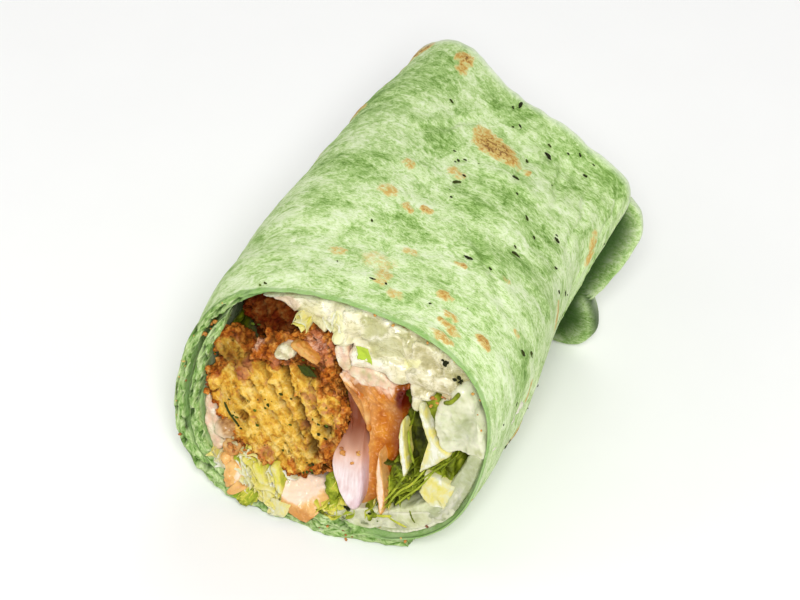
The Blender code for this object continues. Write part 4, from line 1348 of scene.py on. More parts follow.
TOMATO_OUTLINE = (
    (1.2, 41.2), (4.5, 40.4), (6.6, 37.4), (8.2, 34.5), (8.8, 29.5), (9.3, 26), (8.4, 21.5), (8.6, 16),
    (7, 12), (6, 8.4), (7.6, 6.4), (10.2, 6.2), (12.4, 9.5), (13.4, 13), (15, 19), (16.6, 26), (17.2, 33),
    (16.8, 38), (17.6, 43), (14.6, 42.4), (11, 42.6), (6.4, 42.6),
)
TOMATO_RIM = ((1.2, 40.6), (3.8, 39.4), (6.2, 37.9), (7.6, 36.0), (8.3, 33.4), (8.8, 30.6), (9.4, 28.2))
SLIVER_OUTLINE = (
    (12.9, 25.8), (13.8, 22.4), (15.2, 16.4), (15.3, 11.8), (14.7, 10.2), (13.9, 13), (13, 17.6),
    (12.6, 22.2),
)
ONION_OUTLINE = (
    (2.4, 39.4), (5, 38.5), (7.1, 36.5), (8.2, 31.6), (8.9, 26.5), (9.6, 20.4), (10, 16), (9.5, 10.6),
    (7.6, 8.9), (5, 11.6), (2.7, 16.8), (2.3, 21.3), (3.6, 26.1), (4.4, 31), (3.8, 35.4),
)
CUBE_OUTLINE = (
    (-9.7, 2.7), (-9.5, 2.4), (-6.4, 1.6), (-3.5, 0.7), (-3.2, 0.8), (0.4, 5.4), (3.9, 9.9), (3.9, 10.3),
    (2.4, 11.9), (1, 13.5), (0.7, 13.6), (-4.1, 13.1), (-8.9, 12.7), (-9.2, 12.4), (-9.5, 7.5),
)
CUBE_PROFILE = (
    (0, 0), (0.5, 0), (0.9, 0), (0.975, 0.004), (1, 0.03), (1, 0.35), (0.98, 0.7), (0.9, 1), (0.4, 1),
    (0, 1),
)
CUBE_FOOT_END = 4
CUBE_FRONT_HEIGHT = 2.4
PEACH_OUTLINES = (
    # outline, deep, front, pale
    (((-26.1, 12.1), (-24.3, 14.9), (-22.1, 15.1), (-20.9, 12.4), (-22.3, 9.8), (-25.5, 9)), 6, -0.4, 0.55),
    (((-26.1, 2.9), (-25.3, 6.1), (-22.6, 8), (-20, 6), (-19.8, 4), (-22.1, 1.4), (-25.3, 1)), 6, -2, 0.7),
    (((-23.8, 10.4), (-21.2, 10.8), (-20.6, 8.6), (-22, 6.9), (-23.6, 7.6)), 5, 0.2, 0.8),
    (((-25.2, -0.6), (-23.3, 1.6), (-21.1, 1.4), (-21.9, -0.5), (-24.3, -1.2)), 4, -2.2, 0.6),
    (((-26.3, 8.6), (-24.6, 9.6), (-23.2, 8.4), (-24.2, 6.8), (-25.8, 6.9)), 4, -0.6, 0.66),
)
SLABS = (
    # outline, front, pale: thin translucent slices lying on the lower one
    (((3, 3.6), (3.4, 6), (7.6, 8.6), (13, 10.6), (16.4, 9.4), (14.6, 6.6), (9, 4.2)), 0.1, 0.12),
    (((13.4, 7), (15.2, 10.8), (20.6, 12.6), (25.4, 14.8), (27.4, 13.2), (23.6, 9.8), (18.4, 7.6)),
     0, 0.26),
    (((26.6, 13.4), (28.4, 16.2), (31, 20.4), (32.6, 24.4), (33.2, 21.2), (31.4, 16.2), (28.8, 13.2)),
     0.2, 0.06),
)
# the ridge of the lower cucumber slice, and the outline of the one above it
LOWER_RIDGE = ((34.3, 30.5), (32.4, 22.5), (28.6, 14.5), (22.6, 8.5), (10.6, 4.2), (3, 3.4))
SIDE_OUTLINE = (
    (26.4, 42.4), (28, 45.2), (30.4, 47.2), (33.2, 44), (35.6, 39), (36.8, 35), (37.2, 32.6), (34.6, 32.4),
    (31.4, 31.9), (28.6, 31.8), (26.7, 33.6), (25.7, 37), (25.6, 40.2),
)


def tomato_slice(finish):
    """The long slice in the middle with its curled rim, and the pale sliver beside it."""
    solid = plug(TOMATO_OUTLINE, 34, 1.6, CUT_PROFILE, 170, 90)
    points = solid.points
    behind = behind_face(points)
    upper = ease(points[:, 2], 33, 41)
    middle = 12.4 + 0.12 * (points[:, 2] - 20)
    trough = 1 - ease(np.abs(points[:, 0] - middle), 0, 5.5)
    solid.points = points + stacked(0, (trough * (1 - upper) - upper) * (behind < 6), 0)
    across_band = points[:, 0] + 0.9 * points[:, 2]
    ribbed = 0.32 * np.sin(across_band * 3.4 + 1.6 * waves(points, 4, 92)) * upper
    pocket = nearness(points, (17.4, 39.0), 4.2) * ease(points[:, 0], 14.2, 15.8)
    uneven = 0.16 * rough(points * (1.2, 1, 0.7), 4.0, 91) + 0.07 * rough(points, 1.4, 89)
    solid.push(uneven + ribbed - 1.6 * pocket)
    points = solid.points
    # The mark skin here is mostly painted shade: deep in the pocket at the upper right, darker towards the
    # right and the bottom, at the top left beside the onion and further in.
    dark = 1.6 * nearness(points, (17.2, 39.6), 5.4) * ease(points[:, 0], 13.9, 15.4)
    shade = 0.68 * ease(points[:, 0] + 0.8 * waves(points, 4, 96), 12.0, 16.4)
    shade = shade + 0.35 * ease(-points[:, 2], -16, -9)
    top_left = 0.5 * nearness(points, (5.0, 38.4), 4.0)
    solid.share("skin", dark + shade * (1 - upper) + top_left + 0.6 * ease(behind, 4, 8))
    solid.share("pale", 0.3 * nearness(points, (13.6, 36), 3) + 0.4 * nearness(points, (8, 8), 5)
                + 0.25 * ease(-points[:, 0], -11.5, -9.5))
    blotches = 0.45 * ease(waves(points, 2.4, 88), 0.2, 0.7) * ease(-points[:, 0], -13, -9.6)
    top = ease(points[:, 2] + 1.6 * waves(points, 1.6, 95), 36.6, 42)
    solid.share("sauce", 0.65 * top + blotches - dark)
    edge = [at(across, up, 1.1 + 0.1 * max(0, 38 - up)) for across, up in TOMATO_RIM]
    rim = shred(edge, 1.0, 2.0, 0, 16, 80, 97)
    rim.push(0.12 * rough(rim.points, 2, 98))
    rim.share("pale", 0.42 + 0.5 * waves(rim.points, 3, 99))
    rim.mark("skin", 0.0)
    rim.share("sauce", 0.45 * ease(rim.points[:, 2], 36, 41) + 0.5 * waves(rim.points, 1.6, 90))
    kept_inside(joined([solid, rim])).make("tomato_slice_long", finish, "tomato", "tomato_slice")
    sliver = plug(SLIVER_OUTLINE, 12, -0.6, CUT_PROFILE, 70, 40)
    sliver.push(0.2 * rough(sliver.points, 2, 93))
    within = inside_outline(sliver.points, SLIVER_OUTLINE)
    sliver.share("pale", 0.45 + 0.4 * ease(within, 0.1, 0.9) + 0.25 * waves(sliver.points, 3, 94))
    sliver.mark("skin", 0.0)
    sliver.mark("sauce", 0.75 * ease(within, 0.05, 0.5))
    sliver.make("tomato_sliver_pale", finish, "tomato", "tomato_sliver")


def onion_slice(finish):
    """The curved slice between the falafel and the tomato, with painted shade browning it towards its top.
    """
    solid = plug(ONION_OUTLINE, 20, 0.0, CUT_PROFILE, 130, 60)
    points = solid.points
    upper = ease(points[:, 2], 21, 33)
    hollow = nearness(points, (6.6, 30), 4.0)
    solid.points = points + stacked(0, 1.9 * upper - 1.1 * (1 - upper), 0)
    solid.push(0.16 * rough(points * (1, 1, 0.4), 2.6, 101) - 0.5 * hollow)
    points = solid.points
    lower_edge = nearness(points, (9.6, 11), 3.4) * 0.5
    # painted shade over its upper part, which lies in the shade between the falafel and the tomato
    dusk = ease(points[:, 2] + 1.4 * waves(points * (1, 1, 0.5), 3, 102), 14.0, 32.0)
    solid.mark("dusk", 0.95 * dusk)
    within = inside_outline(points, ONION_OUTLINE)
    side_edge = 0.4 * ease(-within, -0.5, 0.3) + 0.3 * ease(points[:, 0], 8.6, 9.6)
    solid.mark("skin", lower_edge + side_edge * (1 - dusk))
    solid.make("onion_slice_curved", finish, "onion", "onion_slice")


def tomato_chunks(finish):
    """The pale cube at the foot of the falafel, and the peach lumps at the left."""
    front = -1.6
    shifted = set_back(CUBE_OUTLINE, front)
    solid = plug(shifted, 10, front, CUBE_PROFILE, 180, 70)
    foot, along_foot = shifted[0], shifted[CUBE_FOOT_END] - shifted[0]
    upright = np.array((-along_foot[1], along_foot[0])) / np.linalg.norm(along_foot)
    above = (solid.points[:, (0, 2)] - foot) @ upright
    leaned = 0.55 * np.maximum(above - CUBE_FRONT_HEIGHT, 0)
    solid.points += stacked(-SET_ACROSS * leaned, (1 - FACE_LEAN * SET_UP) * leaned, -SET_UP * leaned)
    solid.push(0.14 * rough(solid.points, 3, 111) + 0.07 * rough(solid.points, 1.0, 112))
    solid.laid_on(SHEET + 0.15)
    # The top face is made paler and saucier and the front face a little darker: partly the chunk's own
    # colours, partly painted light and shade.
    edge = above + 0.25 * waves(solid.points, 2.4, 113)
    upward = ease(edge, CUBE_FRONT_HEIGHT - 0.7, CUBE_FRONT_HEIGHT + 1.6)
    left = ease(-solid.points[:, 0] + 0.5 * above + 0.7 * waves(solid.points, 3, 110), 4.0, 9.5)
    solid.share("pale", 0.34 + 0.4 * upward + 0.3 * left)
    solid.mark("skin", 0.1 * (1 - upward))
    solid.share("sauce", 0.3 * upward + 0.75 * left * (0.3 + upward) + 0.2 * waves(solid.points, 3, 114))
    solid.make("tomato_chunk_pale", finish, "tomato_pale", "tomato_chunk")
    lumps = []
    for number, (outline, deep, front, pale) in enumerate(PEACH_OUTLINES):
        piece = plug(set_back(outline, front), deep, front, BALL_PROFILE, 60, 34)
        piece.push(0.45 * rough(piece.points, 3, 115 + number) + 0.12 * rough(piece.points, 1, 119))
        piece.share("pale", pale + 0.45 * waves(piece.points, 2.2, 121 + number))
        lumps.append(piece)
    solid = joined(lumps).laid_on(0.6)
    solid.mark("skin", 0.0)
    # sauce: pale patches that stand for glossy highlights, painted highlight
    solid.mark("sauce", np.clip(0.9 * waves(solid.points, 2.4, 118), 0, 0.7))
    kept_inside(solid).make("tomato_lumps_left", finish, "tomato_pale", "tomato_piece_left")


def chickpea(finish):
    """A whole chickpea with a seam down it."""
    middle = at(-24.9, 17.0, 1.2)
    solid = lump(middle, (5.6, 6.0, 5.0), 3, 0.12, 44, 30)
    seam = np.exp(-((solid.points[:, 0] - middle[0] - 1.0) / 0.4) ** 2)
    solid.push(0.12 * rough(solid.points, 2, 121) - 0.3 * seam)
    outward = (solid.points - middle) / (2.8, 3.0, 2.5)
    low = -outward[:, 2] - 0.25 * outward[:, 0] + 0.3 * waves(solid.points, 2, 122)
    # skin darkens its underside: painted shade
    solid.mark("skin", ease(low, 0.62, 0.85))
    solid.mark("pale", 0.85 * ease(low - 0.5 * outward[:, 0], -0.5, 0.2))
    solid.make("chickpea_whole", finish, "chickpea", "chickpea")


def wall_slice(start, end, thickness, deep, front, fullness, columns, rows):
    """A slice against the inside of the tortilla between two angles. It is fuller at its two ends
    where fullness is nearer to 0."""
    share = np.linspace(0, 1, columns)
    angle = start + (end - start) * share
    rounded = np.sin(np.pi * (0.06 + 0.88 * share)) ** fullness
    wall = lining_depth(angle) + 0.25 - 1.35 * ease(angle, TORN_TO - 8, TORN_TO + 10)
    inner_depth = lining_depth(angle) + 0.25 + thickness(share) * rounded
    outer = np.stack([angle, wall], axis=1)
    inner = np.stack([angle, inner_depth], axis=1)[::-1]
    ring = np.concatenate([outer, inner])
    shaped = curve(CUT_PROFILE, rows)
    middle = ring.mean(axis=0)
    across = middle + (ring - middle)[None] * np.minimum(shaped[:, 0, None, None], 1)
    along = deep * shaped[:, 1, None] * np.ones(len(ring))
    points = roll(across[..., 0], along, across[..., 1])
    points[..., 1] += front
    return loft(points)


def cucumber_slices(finish):
    """A curved slice along the lower right wall with slabs on it, and a thick one above it."""
    low = wall_slice(281, 368, lambda share: 2.6 + 2.4 * np.sin(np.pi * share), 0.3, 0.2, 0.35, 130, 70)
    low.push(0.3 * rough(low.points, 4, 131) + 0.1 * rough(low.points, 1.4, 132))
    points = low.points
    line = from_path(points, LOWER_RIDGE, 60)
    low.share("pale", (1 - ease(line, 0.2, 0.8)) * 0.8 + 0.25 * nearness(points, (22, 11), 7))
    beside = ease(-line, -3.6, -2.2) * (1 - ease(line, 2.4, 4))
    low.mark("skin", 0.35 * beside + 0.5 * nearness(points, (5.6, 3.2), 2))
    slabs = []
    for number, (outline, front, pale) in enumerate(SLABS):
        slab = plate(outline, 4, front, 0.2, 135 + number)
        lip = 1 - ease(inside_outline(slab.points, outline), 0, 0.7)
        slab.marks = {}
        slab.share("pale", pale + 0.45 * lip + 0.35 * waves(slab.points, 3, 137))
        slabs.append(slab.share("skin", 0.25 * waves(slab.points, 2.4, 138)))
    low = joined([low] + slabs).laid_on(0.9)
    low.make("cucumber_slice_lower", finish, "cucumber", "cucumber_slice_low")
    side = plug(SIDE_OUTLINE, 20, 0.2, CUT_PROFILE, 160, 90)
    points = side.points
    fold = (points[:, 0] - 33.0 - 0.25 * (points[:, 2] - 38) + 0.7 * waves(points, 4, 133)) / 1.6
    crease = np.exp(-fold ** 2)
    bulge = 0.8 * ease(-fold, 0.2, 2.4) + 0.3 * ease(fold, 0.2, 2.0)
    side.push(bulge - 0.5 * crease + 0.4 * rough(points, 3.4, 134) + 0.14 * rough(points, 1.2, 130)
              + 0.4 * nearness(points, (28, 38), 4))
    mottled = 0.5 * waves(points, 2.6, 136) + 0.4 * waves(points, 1.2, 139)
    lip = 1 - ease(inside_outline(points, SIDE_OUTLINE), 0.1, 1.0)
    side.share("pale", 0.34 + 0.55 * lip + mottled - 0.35 * nearness(points, (31, 40), 3.4))
    # skin along the crease is painted shade in the fold
    skin = 0.1 + 0.2 * nearness(points, (31.4, 38), 3.6) + 0.5 * crease - 0.5 * lip
    side.mark("skin", np.clip(skin, 0, 0.34))
    side.make("cucumber_slice_side_thick", finish, "cucumber", "cucumber_slice_side")


CREAM_LOWER = (
    (-22.5, 54), (-18, 52.6), (-13.5, 52), (-9.6, 50.8), (-6.5, 49.4), (-3, 48.8), (0.2, 49.2), (2.2, 50.4),
    (3.4, 46.6), (5.6, 43.4), (9.5, 43.8), (12.6, 45.2), (14.4, 43.6), (15.6, 44.2), (17.8, 46.2),
    (19, 43.4), (20.8, 44), (22.4, 45.2), (24, 44.4), (25.6, 42.4), (26.6, 44.4), (28.6, 46.8), (30.8, 48),
)
CREAM_UPPER = (
    (28.6, 51.6), (22.5, 54.6), (15, 57), (7, 58.2), (0, 58.4), (-8, 58.2), (-15, 57.4), (-20.5, 55.6),
)
CREAM_VOXEL = 0.38
CREAM_BLOBS = (
    # across, up, inward, width, height
    (-16.5, 55.4, 1.6, 12, 4), (-7.5, 54.6, 1.4, 12, 5.6), (2, 53.6, 1, 11, 8), (11, 52.4, 1.4, 14, 9),
    (10.4, 46.2, 0.4, 13, 4.6), (19.4, 51.4, 1.2, 11, 7.5), (21.6, 46.4, 0.4, 9, 5.6),
    (26.2, 46.6, 0.6, 6, 6.4), (19.4, 43.4, 0.8, 2.2, 6), (19.7, 39.6, 1.3, 1.3, 4.4),
    (14.2, 45.2, 0.2, 6, 3.4), (5.4, 46, 0.4, 5.4, 4.4), (21.6, 42.6, 0.8, 3.4, 2.4),
    (1, 49, 0.2, 4.4, 3.6),
)
CABBAGE = (
    # flat pieces of cabbage under the dressing: outline, slope across, slope up, fold, green, yellow, pink
    (((-16.9, 56.4), (-12.4, 57.6), (-9, 55.4), (-10.6, 53), (-14.2, 53.6)), 0.02, -0.06, 0.5, 0, 0, 0.5),
    (((-8.9, 54.6), (-4.4, 56.8), (-2.2, 53), (-3.6, 49.4), (-7.2, 50.4)),
     0.08, 0.03, 0.42, 0.15, 0.35, 0.1),
    (((1.7, 57.4), (5.6, 57.8), (6.3, 52.3), (3.2, 49.2), (1.8, 51)), -0.08, 0.06, 0.5, 0.1, 0.2, 0.1),
    (((-1.3, 55.8), (1.2, 56.2), (2.1, 51.2), (0.5, 48.4), (-0.9, 49.4)), 0.1, -0.03, 0.72, 0, 0.8, 0),
    (((5.4, 57.7), (8.5, 58.2), (12.9, 55.8), (9.5, 53.2), (6.2, 52.4)), 0.05, -0.1, 0.26, 0.75, 0.05, 0),
    (((12.4, 57.4), (17.9, 57.4), (19, 53.4), (16, 52.2), (13.3, 54.8)), -0.06, -0.05, 0.4, 0.45, 0, 0),
    (((7.4, 51.4), (11.1, 54.8), (14.3, 56.2), (17.3, 53.2), (16.9, 50.6), (11.6, 48.8), (9, 47.5)),
     0.04, 0.09, 0.4, 0.55, 0.08, 0),
    (((18.3, 55.2), (21.8, 55.6), (24.2, 52.6), (25.7, 50.1), (22.7, 47.6), (19.1, 49.4)),
     -0.08, 0.05, 0.56, 0.2, 0, 0),
    (((3.4, 43.5), (5.4, 46.6), (9.6, 48), (12.6, 46.4), (12, 43.6), (8, 42.8)),
     -0.05, -0.08, 0.7, 0, 0, 0.25),
    (((10.4, 44.2), (11.8, 47), (14.6, 48.6), (17.7, 49.1), (18, 46), (16.9, 42.6), (14.9, 40.8),
     (12.7, 42)), 0.1, -0.06, 0.55, 0.25, 0, 0.15),
    (((18, 47.6), (22, 48), (25.6, 49.2), (28.4, 46.8), (25.4, 43.2), (22.2, 43.6), (19.4, 42)),
     -0.05, 0.08, 0.6, 0.05, 0, 0.12),
    (((16.3, 51), (20.4, 51.5), (18, 47.8), (16.7, 48.6)), 0.1, 0, 0.66, 0, 0.75, 0),
    (((24.4, 53.4), (27.8, 51), (29.4, 47.9), (27.6, 45.6), (25.8, 48.8)), -0.12, 0.02, 0.52, 0.15, 0, 0),
)
PINK_PATCHES = (
    # outline, deep, front, pink
    (((-0.2, 47.2), (1.6, 50.2), (3.4, 46), (3.9, 43.6), (2.6, 42.6), (0.8, 43.6)), 4, 0.3, 0.62),
    (((2.6, 42.9), (4.6, 44.2), (8.9, 45), (12.4, 44.2), (14.6, 42.6), (14.2, 41.4), (11, 41.6),
     (7.6, 40.6), (5, 41.8)), 5, 0.6, 0.62),
    (((-14.5, 40.9), (-12.8, 43), (-10.4, 43.4), (-9.6, 41.6), (-12.1, 39.8), (-13.9, 39.4)), 4, -0.8, 0.1),
    (((-30.4, 24.3), (-29.1, 23.7), (-27.4, 20.3), (-26.2, 17.2), (-27.3, 15.2), (-24.7, 14.1), (-26, 11.6),
     (-28.2, 10.3), (-29.4, 13.9), (-30.4, 19.2)), 8, 1, 0.62),
)


def dressing(finish):
    """Creamy dressing along the roof of the roll, in soft folds and drips over shredded cabbage."""
    parts = [plug(CREAM_LOWER + CREAM_UPPER, 14, 2.2, CUT_PROFILE, 150, 50)]
    for number, (across, up, inward, width, height) in enumerate(CREAM_BLOBS):
        parts.append(lump(at(across, up, inward + 1.2), (width, 4.0, height), number, 0.15, 30, 20))
    solid = joined(parts).melted(CREAM_VOXEL, 14)
    points = solid.points
    behind = behind_face(points)
    seen = points + stacked(SET_ACROSS * behind, 0, SET_UP * behind)
    seen += 0.45 * stacked(waves(points, 1.6, 144), 0, waves(points, 1.6, 145))
    folds = 1 - np.abs(waves(points @ np.array(((0.8, 0, 0.5), (0, 1, 0), (-0.5, 0, 0.9))), 6.0, 147)) * 2.6
    relief = 0.4 * np.clip(folds, -0.6, 1) ** 3
    right = ease(points[:, 0], 10, 22)
    marks = {
        # fold is painted light and shade: lighter on the ridges and at the lips of the cabbage pieces,
        # darker in the valleys and towards the right
        "fold": 0.45 + 0.4 * folds,
        "green": 0.6 * waves(points, 5.0, 143) + 0.14 * right + 0.3 * nearness(points, (19.5, 40), 5),
        "yellow": 0.5 * nearness(points, (-8, 52), 4),
        "pink": 0.5 * nearness(points, (2.6, 46.4), 4) + 0.3 * nearness(points, (13.0, 43.6), 3.4),
    }
    for outline, slope_across, slope_up, *values in CABBAGE:
        middle = np.mean(outline, axis=0)
        within = inside_outline(seen, outline)
        plane = ease(within, -0.15, 0.3) * (1 - ease(behind, 4, 7))
        lip = 1 - ease(within, 0.2, 1.1)
        slope = slope_across * (seen[:, 0] - middle[0]) + slope_up * (seen[:, 2] - middle[1])
        relief += plane * (0.25 + 1.5 * slope + 0.2 * lip - relief)
        for name, value in zip(marks, values):
            marks[name] = marks[name] + plane * (value - marks[name])
        marks["fold"] = marks["fold"] + plane * (0.28 * lip + 0.22 * waves(points * (1, 1, 0.4), 1.3, 148))
        marks["green"] = marks["green"] * (1 - 0.6 * plane * lip)
    marks["fold"] = marks["fold"] - 0.3 * right
    solid.push(relief + 0.35 * waves(points, 5.5, 141) + 0.1 * rough(points, 1.6, 142))
    for name, values in marks.items():
        solid.share(name, values)
    kept_inside(solid).make("dressing_cream", finish, "dressing", "dressing")


def pink_sauce(finish):
    """Dressing stained by tomato, spread where it meets the tomato and the falafel, and at the left."""
    pieces = []
    for number, (outline, deep, front, pink) in enumerate(PINK_PATCHES):
        piece = plate(outline, deep, front, 0.3, 151 + number, profile=CUT_BALL_PROFILE)
        piece.marks = {}
        piece.share("pink", pink + 0.6 * waves(piece.points * (1.3, 1, 0.7), 1.5, 157)).mark("green", 0.0)
        pieces.append(piece.share("fold", 0.42 + 0.5 * waves(piece.points, 2.4, 158)))
    kept_inside(joined(pieces)).make("dressing_pink", finish, "dressing")


# the lettuce

PLATES = (
    # outline, deep, front, relief, core, edge
    # a dark leaf set back in the pocket beside the rib: dark green and painted shade
    (((17.8, 36.8), (21.2, 40.1), (23.4, 36.9), (24.1, 32.3), (23.1, 26.4), (21.5, 24.1), (19.9, 27.7)),
     8, 3.4, 0.5, 0.12, 0.26),
    (((21, 42.4), (22.7, 43.8), (25.6, 42.4), (26.2, 39), (25.9, 34.9), (24.7, 35.5), (22.5, 38.6)),
     8, 2.2, 0.5, 0.33, 0.48),
    (((24.6, 25.3), (27.1, 28.4), (30.9, 31.9), (30.6, 28.3), (30.9, 23.9), (27.6, 24.1)),
     8, 1.8, 0.6, 0.24, 0.42),
    (((23.1, 19.4), (24, 23.6), (24.3, 24), (30.6, 23.5), (31.1, 23.1), (29.4, 17.4), (29, 17), (26, 16.5),
     (25.5, 16.7), (23.3, 18.9)), 7, -0.2, 0.2, 0.79, 0.87),
    (((15.9, 18.2), (16.3, 23.9), (17.6, 25.4), (18.5, 21.2), (20, 19.8), (18.9, 16.8), (16.8, 14)),
     8, 1.6, 0.5, 0.26, 0.36),
    (((-20.1, 9.2), (-16.9, 9.6), (-13.4, 9.6), (-9.8, 12.6), (-8.9, 8.2), (-9.5, 3.8), (-11, 2.6),
     (-13.8, 2.6), (-16.9, 3), (-19.3, 5.3)), 7, 0.6, 0.9, 0.72, 0.62),
    (((-20.8, 14), (-15, 13.6), (-12, 12), (-15, 7.4), (-20.6, 8.2)), 7, 1.2, 0.8, 0.62, 0.54),
    (((-2.9, 2.6), (-0.3, 5.2), (3.3, 8.4), (5.8, 8.6), (5.2, 4.7), (2.4, 2.7)), 6, 0.6, 0.8, 0.68, 0.48),
    (((-30.2, 11), (-28.2, 10.6), (-26.8, 6.4), (-25.6, 3.2), (-27, 2.7), (-29, 5.6)),
     6, 0.9, 0.5, 0.78, 0.7),
    (((1, 14.6), (3.4, 13.8), (4, 10.8), (2.8, 8.8), (0.6, 10.4)), 5, 1, 0.5, 0.5, 0.4),
    (((10.4, 9.8), (12, 10.6), (13.2, 9.2), (11.8, 7.6)), 4, 0, 0.7, 0.56, 0.34),
    # the near-black leaves in the hollow at the upper left: painted shade
    (((-28.6, 46.6), (-26, 48.6), (-24.6, 46), (-25.4, 42.4), (-29.4, 39.4), (-30.6, 42.4)),
     8, 5, 0.6, 0.16, 0.26),
    (((-31, 43.4), (-28, 46.2), (-26.8, 41), (-29, 36), (-31.4, 37)), 8, 2.6, 0.6, 0.2, 0.3),
    # a near-black leaf in the gap between the tomato and the rib: painted shade
    (((16.6, 30.4), (17.4, 34.6), (18.6, 36.8), (19, 33), (17.6, 26), (16.8, 25.8)), 8, 3, 0.4, 0.05, 0.1),
)
RIBS = (
    # outline, front, core, edge: the pale ribs
    (((16.9, 33.9), (17.3, 35.3), (17.9, 34), (18.5, 29.8), (19.7, 24.6), (19.7, 22.6), (19.1, 21.2),
     (18.5, 22.8), (17.4, 27.5), (16.9, 31)), 0, 1.14, 0.74),
    (((20.7, 39.9), (21.4, 40), (22.3, 38.7), (24.1, 35.4), (25.9, 32.4), (29.2, 30.9), (27.6, 28.6),
     (24.9, 25.9), (22.6, 23.8), (23.5, 27.4), (24.3, 30.6), (23.6, 33.2), (21.9, 37)), -0.3, 0.98, 0.84),
    (((-17.6, 10.4), (-15.4, 10.2), (-12.6, 6), (-11.2, 3), (-12.6, 3), (-15.2, 6.2)), -1.3, 0.84, 0.72),
    (((-13, 12), (-11.2, 12.4), (-9.9, 9), (-9.8, 5.6), (-11.2, 6.6), (-12, 9.4)), -1.4, 0.8, 0.68),
)
SHREDS = (
    # thin shreds: path, width, shade
    (((16.2, 13.4, -0.2), (18.6, 17.9, -0.5), (21.4, 21, -0.5), (23.9, 25.2, 0)), 0.5, 0.52),
    (((17.8, 13.8, -0.1), (20.4, 17.4, -0.5), (23.4, 21.2, -0.6), (26.2, 25.9, 0)), 0.45, 0.48),
    (((16.6, 15.8, 0.2), (18, 19.2, -0.2), (19.4, 21.8, 0.2)), 0.5, 0.4),
    (((21.4, 20.4, 0), (24.6, 24.2, -0.3), (28.8, 28.8, 0.2)), 0.45, 0.4),
    (((14.4, 12.8, 0), (16.6, 16.2, -0.3), (18.8, 20.6, 0.2)), 0.5, 0.56),
    (((18.9, 33.2, 0.4), (19.8, 29.4, 0), (21, 25.4, 0.4)), 0.6, 0.44),
    (((21.6, 14.2, -0.5), (22.4, 12.8, -0.8), (23.2, 11.6, -0.6)), 0.4, 0.3),
    (((16.6, 10.4, -0.4), (19, 10.2, -0.8), (21.4, 9.6, -0.5)), 0.6, 0.56),
    (((13.8, 9.6, -0.3), (15.6, 10.4, -0.6), (17.4, 10.8, -0.2)), 0.7, 0.58),
    (((26.6, 43.4, -0.3), (28.6, 45, -0.9), (30, 47.2, -0.3)), 1.1, 0.34),
    (((-13.6, 10.4, -0.2), (-12, 7.6, -0.7), (-10.2, 4.4, -0.3)), 0.5, 0.86),
    (((-16.4, 8.4, -0.2), (-14, 5.8, -0.7), (-12.8, 3.4, -0.3)), 0.5, 0.84),
)
BUNDLES = (
    # standing leaves: path (across, up), depth, front, shade
    (((17.8, 33.4), (19.4, 37), (20.6, 39.6), (22.2, 41.6)), 9, 2, 0.3),
    (((24.8, 25.2), (28.2, 27.8), (30.4, 30.6), (31.2, 31.8)), 8, 0.8, 0.34),
    (((22.6, 24.2), (26.2, 24.4), (29.6, 23.6), (31.2, 23)), 8, 1, 0.42),
    (((14.4, 13.4), (15.6, 17.6), (17, 21.8), (18, 24.6)), 8, 1.2, 0.3),
    (((-19.8, 8.6), (-16.6, 9.4), (-13, 9.2), (-10, 11.6)), 8, 0.4, 0.7),
    (((-19.2, 4.8), (-15.4, 2.9), (-12.6, 2.7), (-9.6, 3.8)), 8, -0.2, 0.66),
    (((-27.6, 10.4), (-27, 7.6), (-26.2, 5), (-24.8, 3.2)), 8, 0.4, 0.66),
    (((-2.4, 3), (0.4, 5.6), (2.4, 7), (5, 8.4)), 7, 0.2, 0.5),
)
BUNCHES = (
    # packed shreds: outline, how many, depth, front, shades, lengths, heading in degrees
    (((-21.2, 11.4), (-17.2, 11.3), (-13.5, 11.1), (-8.4, 13), (-9.4, 8), (-9.7, 3.2), (-13.6, 3),
     (-18.9, 4.2), (-20, 6.4)), 40, 7, -0.8, (0.66, 0.96), (3, 7), 118),
    (((-19.4, 3.6), (-18.4, 5.4), (-10.2, 5), (-9.6, 1.8), (-10.3, 0.4), (-13.6, 1.3), (-16.5, 2.3)),
     16, 4, -2, (0.66, 0.92), (2.5, 5), 150),
    (((-21, 15), (-14, 13.6), (-12, 11.4), (-16, 9.6), (-20.6, 10)), 9, 5, 0.4, (0.5, 0.8), (2.5, 5), 110),
    (((-21.6, -0.2), (-19.3, 1.8), (-16.1, 2.4), (-16.3, 0.4), (-19.8, -2.2), (-21.2, -2.4)),
     12, 3, -2.6, (0.44, 0.66), (1.5, 3.4), 60),
    (((-28.4, 11.5), (-26.7, 9), (-25.4, 6.6), (-26.4, 4.2), (-27.9, 5.6), (-28.6, 8.7)),
     9, 5, -0.9, (0.75, 0.95), (2.5, 5), 110),
    (((14.5, 13), (17.5, 23), (24, 25.4), (30.5, 30.5), (30.8, 25.6), (24, 24.6), (22, 17.6), (19, 14.6)),
     34, 7, 0.9, (0.04, 0.5), (3, 8), 50),
    (((-2.5, 3.2), (0, 6), (5.5, 8.8), (8, 5.4), (3, 3.2)), 16, 6, -0.6, (0.42, 0.84), (2.5, 5.5), 30),
    (((10, 7.6), (12, 12), (16.4, 12.6), (16, 8.6)), 9, 5, 0, (0.35, 0.8), (2.5, 5), 40),
    (((1.2, 14.4), (3.6, 13.6), (4.2, 10.8), (2, 9.4)), 5, 4, 1.2, (0.35, 0.6), (2, 4), 60),
    (((-10.4, 51.2), (-8.1, 51.9), (-4.3, 49.6), (-9.8, 49.2)), 5, 4, -0.5, (0.6, 0.82), (2, 4.5), 160),
    (((-6, 53.6), (-2, 55), (4, 56), (2, 51), (-2, 50)), 5, 3, 0, (0.9, 1.05), (3, 6), 100),
)


